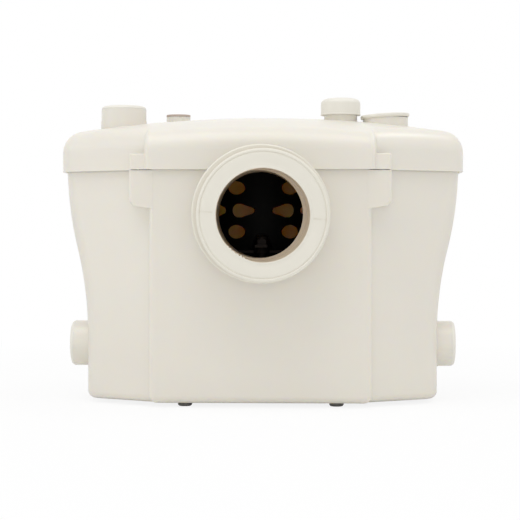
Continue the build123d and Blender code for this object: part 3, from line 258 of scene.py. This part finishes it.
rubberLook = {
    **shellLook,
    "colour": (0.80, 0.77, 0.68),
    "roughness": 0.5,
    "grain": 0.1,
    # painted shade for the rubber's corners and hollows, from ambient occlusion
    "paintedShade": (0.62, 0.55, 0.44),
    "paintedShadeReach": 0.03,
    "paintedShadeSpan": (0.30, 0.80),
    "paintedShadeSamples": 6,
    # painted shade on the rubber's bore wall
    "borePaintedShade": (0.68, 0.57, 0.43),
    "boreCentre": (0.003, 0, connectorCentre.z),
    "boreRadius": 0.047,
    "boreFacing": (-0.95, -0.5),
}
blackLook = {**shellLook, "colour": (0.003, 0.003, 0.002), "roughness": 0.6, "drift": 0.2, "specular": 0.15}
# painted shade: the inlet guide is a dark tan so that the tunnel's inner wall looks shaded
guideShadeLook = {**shellLook, "colour": (0.44, 0.34, 0.235), "roughness": 0.6, "specular": 0.2}
feltLook = {**shellLook, "colour": (0.03, 0.03, 0.03), "roughness": 0.95, "grain": 0.6, "grainDepth": 0.001}
lookTable = {
    "shellCream": {**shellLook, **shellGlow, **spigotBore, **tankInside},
    "plugCream": {**shellLook, "colour": (0.80, 0.775, 0.70), "roughness": 0.38},
    "inletRubber": rubberLook,
    "greyRubber": {**shellLook, "colour": (0.22, 0.215, 0.205), "roughness": 0.7, "grain": 0.3, "drift": 0.08},
    "sealRubber": {**shellLook, "colour": (0.02, 0.02, 0.02), "roughness": 0.65, "grain": 0.25, "drift": 0.1},
    "glandRubber": {**shellLook, "colour": (0.52, 0.42, 0.36), "roughness": 0.55},
    "glandPlastic": {**shellLook, "colour": (0.80, 0.76, 0.68), "roughness": 0.25, "subsurface": 0.4},
    "basketBlack": blackLook,
    "greyPlastic": {**shellLook, "colour": (0.12, 0.12, 0.125), "roughness": 0.45, "drift": 0.05},
    "switchPlastic": {**shellLook, "colour": (0.03, 0.03, 0.035), "roughness": 0.4, "drift": 0.05},
    "boardGreen": {**shellLook, "colour": (0.02, 0.12, 0.045), "roughness": 0.3, "drift": 0.1},
    "guidePaintedShade": guideShadeLook,
    "filterFelt": feltLook,
}
materials = {name: mouldedMaterial(name, look) for name, look in lookTable.items()}


# Bare or painted metal with marks along one way
def metalMaterial(name, look):
    material, tree, shader, place = newMaterial(name)
    streak = addNoise(tree, place, look["streakScale"], look["streakDetail"], look["stretch"])
    (start, dark), (end, light) = look["streakSpan"]
    ends = (start, shade(look["colour"], dark)), (end, shade(look["colour"], light))
    tree.links.new(addRamp(tree, streak, *ends), shader.inputs["Base Color"])
    smoother, rougher = look["roughSpread"]
    rough = addSpan(tree, streak, look["roughness"] - smoother, look["roughness"] + rougher)
    tree.links.new(rough, shader.inputs["Roughness"])
    addBump(tree, shader, streak, look["grain"], look["grainDepth"])
    shader.inputs["Metallic"].default_value = look["metallic"]
    return material


steelLook = {
    "colour": (0.58, 0.57, 0.55),
    "roughness": 0.3,
    "roughSpread": (0.08, 0.1),
    "metallic": 1.0,
    "streakScale": 60.0,
    "streakDetail": 4.0,
    "streakSpan": ((0.35, 0.86), (0.65, 1.08)),
    "stretch": (1, 1, 18),
    "grain": 0.15,
    "grainDepth": 0.0002,
}
paintLook = {"colour": (0.045, 0.048, 0.055), "roughness": 0.4, "metallic": 0.0, "streakScale": 80.0}
# painted shade: steel coloured nearly black, as it sits in the dark of the basket
cutterShadedLook = {"colour": (0.022, 0.018, 0.016), "roughness": 0.55, "stretch": (1, 1, 1), "grain": 0.3}
coreLook = {"colour": (0.3, 0.3, 0.31), "roughness": 0.45, "stretch": (1, 1, 60), "grain": 0.4}
copperLook = {"colour": (0.62, 0.26, 0.12), "roughness": 0.35, "stretch": (1, 1, 40), "grain": 0.5}
canLook = {"colour": (0.6, 0.6, 0.62), "roughness": 0.35, "stretch": (12, 1, 1), "grain": 0.1}
metalTable = {
    "stainless": steelLook,
    "motorPaint": {**steelLook, **paintLook, "stretch": (1, 1, 1), "grain": 0.1},
    "cutterShadedSteel": {**steelLook, **cutterShadedLook},
    "coreSteel": {**steelLook, **coreLook, "streakScale": 30.0},
    "copper": {**steelLook, **copperLook, "streakScale": 30.0},
    "capacitorCan": {**steelLook, **canLook, "streakScale": 50.0},
}
materials.update({name: metalMaterial(name, look) for name, look in metalTable.items()})

slotMaterials = {
    "shell_plastic": "shellCream",
    "plug_plastic": "plugCream",
    "inlet_rubber": "inletRubber",
    "grey_rubber": "greyRubber",
    "seal_rubber": "sealRubber",
    "gland_rubber": "glandRubber",
    "gland_plastic": "glandPlastic",
    "stainless": "stainless",
    "black_plastic": "basketBlack",
    "grey_plastic": "greyPlastic",
    "motor_metal": "motorPaint",
    "core_steel": "coreSteel",
    "copper": "copper",
    "switch_plastic": "switchPlastic",
    "lever_steel": "stainless",
    "board": "boardGreen",
    "capacitor_can": "capacitorCan",
    "filter_felt": "filterFelt",
}
for part in frame["record"]["subparts"]:
    piece = nodes[part["node"]]
    piece.data.materials.clear()
    piece.data.materials.append(materials[slotMaterials[part["material_slot"]]])
for node in ["cutter_blades", "cutter_nut", "basket_handle", "motor_shaft"]:
    # dull steel, painted nearly black as shade for the dark inside the basket
    nodes[node].data.materials[0] = materials["cutterShadedSteel"]
# the inlet guide takes the tan of painted shade
nodes["inlet_guide"].data.materials[0] = materials["guidePaintedShade"]
print("materials made:", len(materials))

# Modelling steps that several pieces share
modelling = {"planeSize": 0.01, "weld": 0.000004, "smoothAngle": 35}


def startPiece(name):
    bpy.ops.object.select_all(action="DESELECT")
    bpy.ops.mesh.primitive_plane_add(size=modelling["planeSize"], location=(0, 0, 0))
    piece = bpy.context.object
    piece.name = name
    return piece


def turnProfile(name, points, centre, axis, steps):
    # a profile of (along, out) points, drawn by extruding one corner of a plane, then spun about the axis
    piece = startPiece(name)
    centre, axis = Vector(centre), Vector(axis).normalized()
    side = Vector((0, 0, 1)) if abs(axis.z) < 0.5 else Vector((1, 0, 0))
    corners = [centre + axis * along + side * out for along, out in points]
    bpy.ops.object.mode_set(mode="EDIT")
    bpy.ops.mesh.select_all(action="SELECT")
    bpy.ops.mesh.merge(type="CENTER")
    bpy.ops.transform.translate(value=corners[0])
    for before, after in zip(corners, corners[1:]):
        bpy.ops.mesh.extrude_region_move(TRANSFORM_OT_translate={"value": after - before})
    bpy.ops.mesh.select_all(action="SELECT")
    bpy.ops.mesh.spin(steps=steps, angle=math.tau, center=centre, axis=axis)
    bpy.ops.mesh.select_all(action="SELECT")
    bpy.ops.mesh.remove_doubles(threshold=modelling["weld"])
    bpy.ops.mesh.normals_make_consistent(inside=False)
    bpy.ops.object.mode_set(mode="OBJECT")
    return piece


def profilePart(depth, radius, steps):
    # points a little way from one depth and one radius
    return [(depth + along, radius + out) for along, out in steps]


def rounded(corner, before, after, radius, count):
    # points of an arc that rounds one corner of a profile
    corner, before, after = Vector(corner), Vector(before), Vector(after)
    inward, outward = (before - corner).normalized(), (after - corner).normalized()
    half = inward.angle(outward) / 2
    reach = radius / math.tan(half)
    middle = corner + (inward + outward).normalized() * radius / math.sin(half)
    first, last = corner + inward * reach - middle, corner + outward * reach - middle
    turn = first.angle_signed(last)
    found = []
    for step in range(count + 1):
        angle = -turn * step / count
        cosine, sine = math.cos(angle), math.sin(angle)
        spun = Vector((first.x * cosine - first.y * sine, first.x * sine + first.y * cosine))
        found.append(tuple(middle + spun))
    return found


def finishPiece(piece, material, body, replaced):
    bpy.ops.object.select_all(action="DESELECT")
    piece.select_set(True)
    bpy.context.view_layer.objects.active = piece
    bpy.ops.object.transform_apply(location=True, rotation=True, scale=True)
    bpy.ops.object.shade_smooth_by_angle(angle=math.radians(modelling["smoothAngle"]))
    piece.data.materials.clear()
    piece.data.materials.append(materials[material])
    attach(piece, body)
    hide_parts(*replaced)


# Pan connector: a soft rubber sleeve with a back lip and a front ring that has sagged to one side.
# Each edge is a list of small steps (back, out) from the place that the profile names.
connector = {
    "steps": 180,
    "bore": 0.0430,
    "mouthEdge": [(0.0040, 0), (0.0012, 0), (0.0006, 0.0002), (0.0003, 0.0006), (0.0003, 0.0020)],
    "faceStep": [(0.0005, 0.0024), (0.0006, 0.0030), (0.0004, 0.0060), (0.0003, 0.0100)],
    "ringRadius": 0.0615,
    "ringDepth": 0.0050,
    "faceGroove": [(0.0002, -0.0047), (0.0003, -0.0040), (0.0007, -0.0035), (0.0008, -0.0031)],
    "faceRim": [(0.0002, -0.0026)],
    "rimFront": [(0.0, -0.0020), (0.0002, -0.0010), (0.0008, -0.0003), (0.0018, 0)],
    "rimBack": [(0.0036, 0), (0.0045, -0.0003), (0.0050, -0.0011)],
    "grooveRadius": 0.0570,
    "grooveDepth": 0.0090,
    "grooveFront": [(0.0051, 0.0012), (0.0056, 0.0003), (0.0064, 0)],
    "grooveBack": [(-0.0012, 0), (-0.0004, 0.0004), (0, 0.0014)],
    "lipRadius": 0.0645,
    "lipDepth": 0.0035,
    "lipFront": [(0, -0.0016), (0.0004, -0.0006), (0.0012, 0)],
    "lipBack": [(0.0022, 0), (0.0031, -0.0006), (0.0035, -0.0016)],
    "sleeveRadius": 0.0555,
    "sleeveFront": [(0, 0.0014), (0.0004, 0.0005), (0.0012, 0)],
    "sleeveBack": [(-0.0010, 0), (-0.0003, -0.0003), (0, -0.0010)],
    "spigotRadius": 0.0520,
    "stepDepth": 0.0200,
    "lipShift": (0.0021, 0.0003),
    "ringShift": (0.0043, -0.0012),
    "shiftShare": 0.55,
    "seamAngles": (176.5, -4.0),
    "seamSize": (0.0145, 0.0005, 0.0005),
    "seamStart": 0.0035,
    "seamDepth": 0.00025,
    "seamEdge": 0.00015,
    "flashAngles": (216, 256),
    "flashReach": 0.0016,
    "flashDepth": 0.003,
    "flashBand": 0.0012,
    "flashWaves": [(1.9, 0, 0.5), (4.7, 1, 0.3)],
    "flashBase": 0.35,
}
mouthY, backDepth = connectorBox[0].y, connectorBox[1].y - connectorBox[0].y
bore, ringRadius, grooveRadius = connector["bore"], connector["ringRadius"], connector["grooveRadius"]
lipRadius, sleeveRadius = connector["lipRadius"], connector["sleeveRadius"]
grooveY = connector["ringDepth"]
lipY = grooveY + connector["grooveDepth"]
sleeveY = lipY + connector["lipDepth"]
profile = [(connector["stepDepth"], bore)]
profile += profilePart(0, bore, connector["mouthEdge"] + connector["faceStep"])
profile += profilePart(0, ringRadius, connector["faceGroove"] + connector["faceRim"])
profile += profilePart(0, ringRadius, connector["rimFront"] + connector["rimBack"])
profile += profilePart(0, grooveRadius, connector["grooveFront"])
profile += profilePart(lipY, grooveRadius, connector["grooveBack"])
profile += profilePart(lipY, lipRadius, connector["lipFront"] + connector["lipBack"])
profile += profilePart(sleeveY, sleeveRadius, connector["sleeveFront"])
profile += profilePart(backDepth, sleeveRadius, connector["sleeveBack"])
profile += [(backDepth, connector["spigotRadius"]), (connector["stepDepth"], connector["spigotRadius"])]
profile += [(connector["stepDepth"], bore)]
mouth = (0, mouthY, connectorCentre.z)
connectorPiece = turnProfile("panConnector", profile, mouth, (0, 1, 0), connector["steps"])

for angle in connector["seamAngles"]:
    # the mould's parting line, a low ridge across the ring's face
    turn = math.radians(angle)
    out = bore + connector["seamStart"] + connector["seamSize"][0] / 2
    ridgeY = mouthY + connector["seamDepth"]
    place = (out * math.cos(turn), ridgeY, connectorCentre.z + out * math.sin(turn))
    bpy.ops.object.select_all(action="DESELECT")
    bpy.ops.mesh.primitive_cube_add(size=1, location=place, rotation=(0, -turn, 0))
    ridge = bpy.context.object
    ridge.scale = connector["seamSize"]
    bpy.ops.object.transform_apply(location=False, rotation=False, scale=True)
    bpy.ops.object.mode_set(mode="EDIT")
    bpy.ops.mesh.select_all(action="SELECT")
    bpy.ops.mesh.bevel(offset=connector["seamEdge"], segments=2)
    bpy.ops.object.mode_set(mode="OBJECT")
    connectorPiece.select_set(True)
    bpy.context.view_layer.objects.active = connectorPiece
    bpy.ops.object.join()

flashStart, flashEnd = connector["flashAngles"]
shiftEnd = backDepth * connector["shiftShare"]
lip, ring = connector["lipShift"], connector["ringShift"]
for vertex in connectorPiece.data.vertices:
    place = vertex.co
    depth = place.y - mouthY
    offset = Vector((place.x, 0, place.z - connectorCentre.z))
    angle = math.degrees(math.atan2(offset.z, offset.x)) % 360
    atMouth = depth < connector["flashDepth"] and offset.length < bore + connector["flashBand"]
    if atMouth and flashStart < angle < flashEnd:
        # a ragged edge left where the rubber was trimmed
        waves = sum(math.sin(angle * rate + start) * size for rate, start, size in connector["flashWaves"])
        tear = waves + connector["flashBase"]
        edge = math.sin(math.pi * (angle - flashStart) / (flashEnd - flashStart))
        place -= offset.normalized() * connector["flashReach"] * max(tear, 0) * edge
    # the sleeve leans over to the lip, and the ring leans a little further
    lipShare = min(1, max(0, (shiftEnd - depth) / (shiftEnd - sleeveY)))
    ringShare = min(1, max(0, (lipY - depth) / (lipY - grooveY)))
    ease = lipShare * lipShare * (3 - 2 * lipShare)
    place.x += lip[0] * ease + (ring[0] - lip[0]) * ringShare
    place.z += lip[1] * ease + (ring[1] - lip[1]) * ringShare
finishPiece(connectorPiece, "inletRubber", "tank", ["wc_connector"])
print("connector done:", len(connectorPiece.data.polygons), "faces")

# Blanking plugs: a head with a rounded rim on a stem that fits the spigot.
# A dome step is a share of the dome's drop and a share of the radius.
plugs = {
    "steps": 96,
    "headDepth": 0.0040,
    "headSteps": 8,
    "domeSteps": [(0.05, 0.3), (0.3, 0.6)],
    "domeEdge": (0.7, 1.3),
    "skirtEdge": 0.0003,
    "stemRadius": 0.0188,
    "stemEdge": 0.0010,
    "side": {"edge": 0.0036, "dome": 0.0007, "spread": 1.0},
    "top": {"edge": 0.0031, "dome": 0.0006, "spread": 1.7},
}


def makePlug(name, node, body, axis, head):
    # the axis points out of the spigot, and the head's outer face is the far end of the CAD plug
    low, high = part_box(node)
    axis = Vector(axis)
    reach = Vector([abs(number) for number in axis]).dot(high - low)
    face = (low + high) / 2 + axis * reach / 2
    radius = ((high - low).z if abs(axis.z) < 0.5 else (high - low).x) / 2
    dome, edge, spread = head["dome"], head["edge"], head["spread"]
    headDepth, stemRadius, stemEdge = plugs["headDepth"], plugs["stemRadius"], plugs["stemEdge"]
    lastDrop, lastShare = plugs["domeEdge"]
    outline = [(0, 0)] + [(-dome * drop, radius * share) for drop, share in plugs["domeSteps"]]
    outline += [(-dome * lastDrop, radius - edge * spread * lastShare)]
    corner = rounded((-dome, radius), (-dome, 0), (-headDepth, radius), edge, plugs["headSteps"])
    outline += [(along, radius - (radius - out) * spread) for along, out in corner]
    outline += [(-headDepth + plugs["skirtEdge"], radius), (-headDepth, radius - plugs["skirtEdge"])]
    outline += [(-headDepth, stemRadius), (-reach + stemEdge, stemRadius)]
    outline += [(-reach, stemRadius - stemEdge), (-reach, 0)]
    piece = turnProfile(name, outline, face, axis, plugs["steps"])
    finishPiece(piece, "plugCream", body, [node])


makePlug("sidePlugLeft", "side_plug_left", "left_plug", (-1, 0, 0), plugs["side"])
makePlug("sidePlugRight", "side_plug_right", "right_plug", (1, 0, 0), plugs["side"])
makePlug("topInletPlug", "top_inlet_plug", "top_plug", (0, 0, 1), plugs["top"])

# The discharge spigot's cap is a thin disc that sits a little askew.
# A face step is a drop and a share of the radius.
cap = {
    "proud": 0.0005,
    "depth": 0.0034,
    "faceSteps": [(-0.0002, 0.86), (-0.0004, 0.9)],
    "edgeDrop": 0.0002,
    "edge": 0.0012,
    "underDrop": 0.0006,
    "underEdge": 0.0017,
    "edgeSteps": 6,
    "shoulder": 0.0024,
    "stemRadius": 0.0188,
    "stemDepth": 0.0172,
    "stemEdge": 0.0010,
    "tilt": -3.4,
    "pitch": -0.6,
    "tiltDepth": 0.006,
    "rise": 0.0002,
    "shift": -0.0005,
}
low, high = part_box("discharge_plug")
capCentre = (low + high) / 2
capRadius = (high - low).x / 2 + cap["proud"]
capTop, capBase, capUnder = -cap["edgeDrop"], -cap["depth"], -cap["depth"] - cap["underDrop"]
stemEnd, stemRadius, stemEdge = -cap["stemDepth"], cap["stemRadius"], cap["stemEdge"]
outline = [(0, 0)] + [(drop, capRadius * share) for drop, share in cap["faceSteps"]]
outline += rounded((capTop, capRadius), (capTop, 0), (capBase, capRadius), cap["edge"], cap["edgeSteps"])
outline += rounded((capUnder, capRadius), (0, capRadius), (capUnder, 0), cap["underEdge"], cap["edgeSteps"])
outline += [(capBase, capRadius - cap["shoulder"]), (capBase, stemRadius)]
outline += [(stemEnd + stemEdge, stemRadius), (stemEnd, stemRadius - stemEdge), (stemEnd, 0)]
capFace = Vector((capCentre.x + cap["shift"], capCentre.y, high.z + cap["rise"]))
dischargeCap = turnProfile("dischargeCap", outline, capFace, (0, 0, 1), plugs["steps"])
pitchRise, tiltRise = math.sin(math.radians(cap["pitch"])), math.sin(math.radians(cap["tilt"]))
for vertex in dischargeCap.data.vertices:
    if vertex.co.z > high.z - cap["tiltDepth"]:
        arm = vertex.co - capFace
        vertex.co.z += arm.y * pitchRise - arm.x * tiltRise
finishPiece(dischargeCap, "plugCream", "outlet_plug", ["discharge_plug"])

# Vent cap: a hollow mushroom with a small lip round its lower edge
vent = {
    "steps": 96,
    "headDepth": 0.0176,
    "dome": 0.0010,
    "domeSteps": [(0.1, 0.3), (0.5, 0.62)],
    "crownEdge": 0.0055,
    "crownSteps": 10,
    "lipHeight": 0.0012,
    "lipProud": 0.0003,
    "lipEdge": 0.0004,
    "wall": 0.0020,
    "ceiling": 0.0040,
    "stemRadius": 0.0118,
    "stemBore": 0.0098,
}
low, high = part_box("vent_cap")
ventMiddle = (low + high) / 2
ventRadius = (high - low).x / 2
side = ventRadius - vent["lipProud"]
base, foot = -vent["headDepth"], low.z - high.z
hollow, lipTop, dome = base + vent["wall"], base + vent["lipHeight"], vent["dome"]
outline = [(0, 0)] + [(-dome * drop, side * share) for drop, share in vent["domeSteps"]]
outline += rounded((-dome, side), (-dome, 0), (base, side), vent["crownEdge"], vent["crownSteps"])
outline += [(lipTop + vent["lipProud"], side), (lipTop, ventRadius), (base + vent["lipEdge"], ventRadius)]
outline += [(base, ventRadius - vent["lipEdge"]), (base, vent["stemRadius"]), (foot, vent["stemRadius"])]
outline += [(foot, vent["stemBore"]), (hollow, vent["stemBore"]), (hollow, side - vent["wall"])]
outline += [(-vent["ceiling"], side - vent["wall"]), (-vent["ceiling"], 0)]
ventTop = (ventMiddle.x, ventMiddle.y, high.z)
ventCap = turnProfile("ventCap", outline, ventTop, (0, 0, 1), vent["steps"])
finishPiece(ventCap, "plugCream", "vent", ["vent_cap"])

# Cable gland: a milky stub with soft upright ribs and a bore for its rubber seal
gland = {
    "steps": 176,
    "bore": 0.0040,
    "topWidth": 0.0030,
    "edge": 0.0009,
    "edgeSteps": 4,
    "stubHeight": 0.0070,
    "rings": [0.0020, 0.0035, 0.0050],
    "shankRadius": 0.0080,
    "ribs": 22,
    "ribDepth": 0.0002,
    "ribSkin": 0.0008,
}
low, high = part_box("cable_gland_body")
glandMiddle = (low + high) / 2
glandRadius = (high - low).x / 2
stubBase, foot = -gland["stubHeight"], low.z - high.z
outline = [(foot, gland["bore"]), (0, gland["bore"]), (0, glandRadius - gland["topWidth"])]
outline += rounded((0, glandRadius), (0, 0), (stubBase, glandRadius), gland["edge"], gland["edgeSteps"])
outline += [(-drop, glandRadius) for drop in gland["rings"]] + [(stubBase, glandRadius)]
outline += [(stubBase, gland["shankRadius"]), (foot, gland["shankRadius"]), (foot, gland["bore"])]
glandTop = (glandMiddle.x, glandMiddle.y, high.z)
glandStub = turnProfile("glandStub", outline, glandTop, (0, 0, 1), gland["steps"])
for vertex in glandStub.data.vertices:
    arm = Vector((vertex.co.x - glandMiddle.x, vertex.co.y - glandMiddle.y, 0))
    if arm.length > glandRadius - gland["ribSkin"] and vertex.co.z < high.z - gland["ribSkin"]:
        wave = (1 - math.cos(gland["ribs"] * math.atan2(arm.y, arm.x))) / 2
        vertex.co -= arm.normalized() * gland["ribDepth"] * wave
finishPiece(glandStub, "glandPlastic", "lid", ["cable_gland_body"])
print("plugs, caps and gland done")

# Floor: pale, and nearly white to the camera, so that only a faint shadow lies under the pump
studio = {
    "floorSize": 8.0,
    "floorColour": (0.93, 0.93, 0.93),
    "floorRoughness": 0.9,
    "glowNear": 0.86,
    "glowSpan": (0.3, 0.9),
    "worldStrength": 0.63,
    "aim": (0, 0, 0.15),
}
bpy.ops.object.select_all(action="DESELECT")
bpy.ops.mesh.primitive_plane_add(size=studio["floorSize"], location=(0, 0, 0))
floor = bpy.context.object
floor.name = "floor"
floorMaterial, tree, shader, place = newMaterial("paleFloor")
shader.inputs["Base Color"].default_value = (*studio["floorColour"], 1)
shader.inputs["Roughness"].default_value = studio["floorRoughness"]
glow = tree.nodes.new("ShaderNodeEmission")
glow.inputs["Color"].default_value = (1, 1, 1, 1)
mix = tree.nodes.new("ShaderNodeMixShader")
ray = tree.nodes.new("ShaderNodeLightPath")
fade = addSpan(tree, addVectorMaths(tree, "LENGTH", place), studio["glowNear"], 1, studio["glowSpan"])
tree.links.new(addMaths(tree, "MULTIPLY", ray.outputs["Is Camera Ray"], fade), mix.inputs["Fac"])
tree.links.new(shader.outputs["BSDF"], mix.inputs[1])
tree.links.new(glow.outputs["Emission"], mix.inputs[2])
tree.links.new(mix.outputs["Shader"], tree.nodes["Material Output"].inputs["Surface"])
floor.data.materials.append(floorMaterial)

# World: white to the camera, in reflections and through clear pieces, and softer as light
world = bpy.data.worlds.new("studioWorld")
bpy.context.scene.world = world
world.use_nodes = True
tree = world.node_tree
back = tree.nodes["Background"]
back.inputs["Color"].default_value = (1, 1, 1, 1)
ray = tree.nodes.new("ShaderNodeLightPath")
seen = addMaths(tree, "MAXIMUM", ray.outputs["Is Camera Ray"], ray.outputs["Is Glossy Ray"])
seen = addMaths(tree, "MAXIMUM", seen, ray.outputs["Is Transmission Ray"])
tree.links.new(addSpan(tree, seen, studio["worldStrength"], 1), back.inputs["Strength"])

# Softboxes: a large one overhead, one at each side, one in front, and one that lights the right shoulder
softboxes = {
    "topBox": {"place": (-0.35, -0.55, 1.75), "size": (1.6, 1.2), "power": 10.0},
    "leftBox": {"place": (-1.7, -0.75, 0.75), "size": (0.9, 1.3), "power": 2.8},
    "rightBox": {"place": (1.7, -0.65, 0.85), "size": (0.9, 1.3), "power": 1.6},
    "frontBox": {"place": (0.15, -2.3, 0.3), "size": (1.5, 0.9), "power": 3.6},
    "shoulderBox": {"place": (1.0, 0.05, 1.58), "size": (0.7, 0.4), "power": 3.6},
}
for name, box in softboxes.items():
    bpy.ops.object.light_add(type="AREA", location=box["place"])
    lamp = bpy.context.object
    lamp.name = name
    lamp.data.shape = "RECTANGLE"
    lamp.data.size, lamp.data.size_y = box["size"]
    lamp.data.energy = box["power"]
    lamp.visible_camera = False
    lamp.rotation_euler = (Vector(studio["aim"]) - Vector(box["place"])).to_track_quat("-Z", "Y").to_euler()

# The camera stands a little to the right, 1.52 m in front of the flat front panel
camera = {
    "distance": 1.52,
    "turn": 1.8,
    "eyeHeight": 0.1646,
    "aimHeight": 0.1409,
    "spigotReach": 0.035,
    "lens": 110.8,
    "sensor": 36.0,
}
panelY = tankBox[0].y + camera["spigotReach"]
turn = math.radians(camera["turn"])
aim = Vector((0, panelY, camera["aimHeight"]))
eyeX, eyeY = camera["distance"] * math.sin(turn), panelY - camera["distance"] * math.cos(turn)
eye = Vector((eyeX, eyeY, camera["eyeHeight"]))
bpy.ops.object.camera_add(location=eye)
view = bpy.context.object
view.name = "photoView"
view.data.lens = camera["lens"]
view.data.sensor_width = camera["sensor"]
view.rotation_euler = (aim - eye).to_track_quat("-Z", "Y").to_euler()
bpy.context.scene.camera = view
bpy.context.scene.view_settings.view_transform = "Standard"
print("floor, lights and camera set")
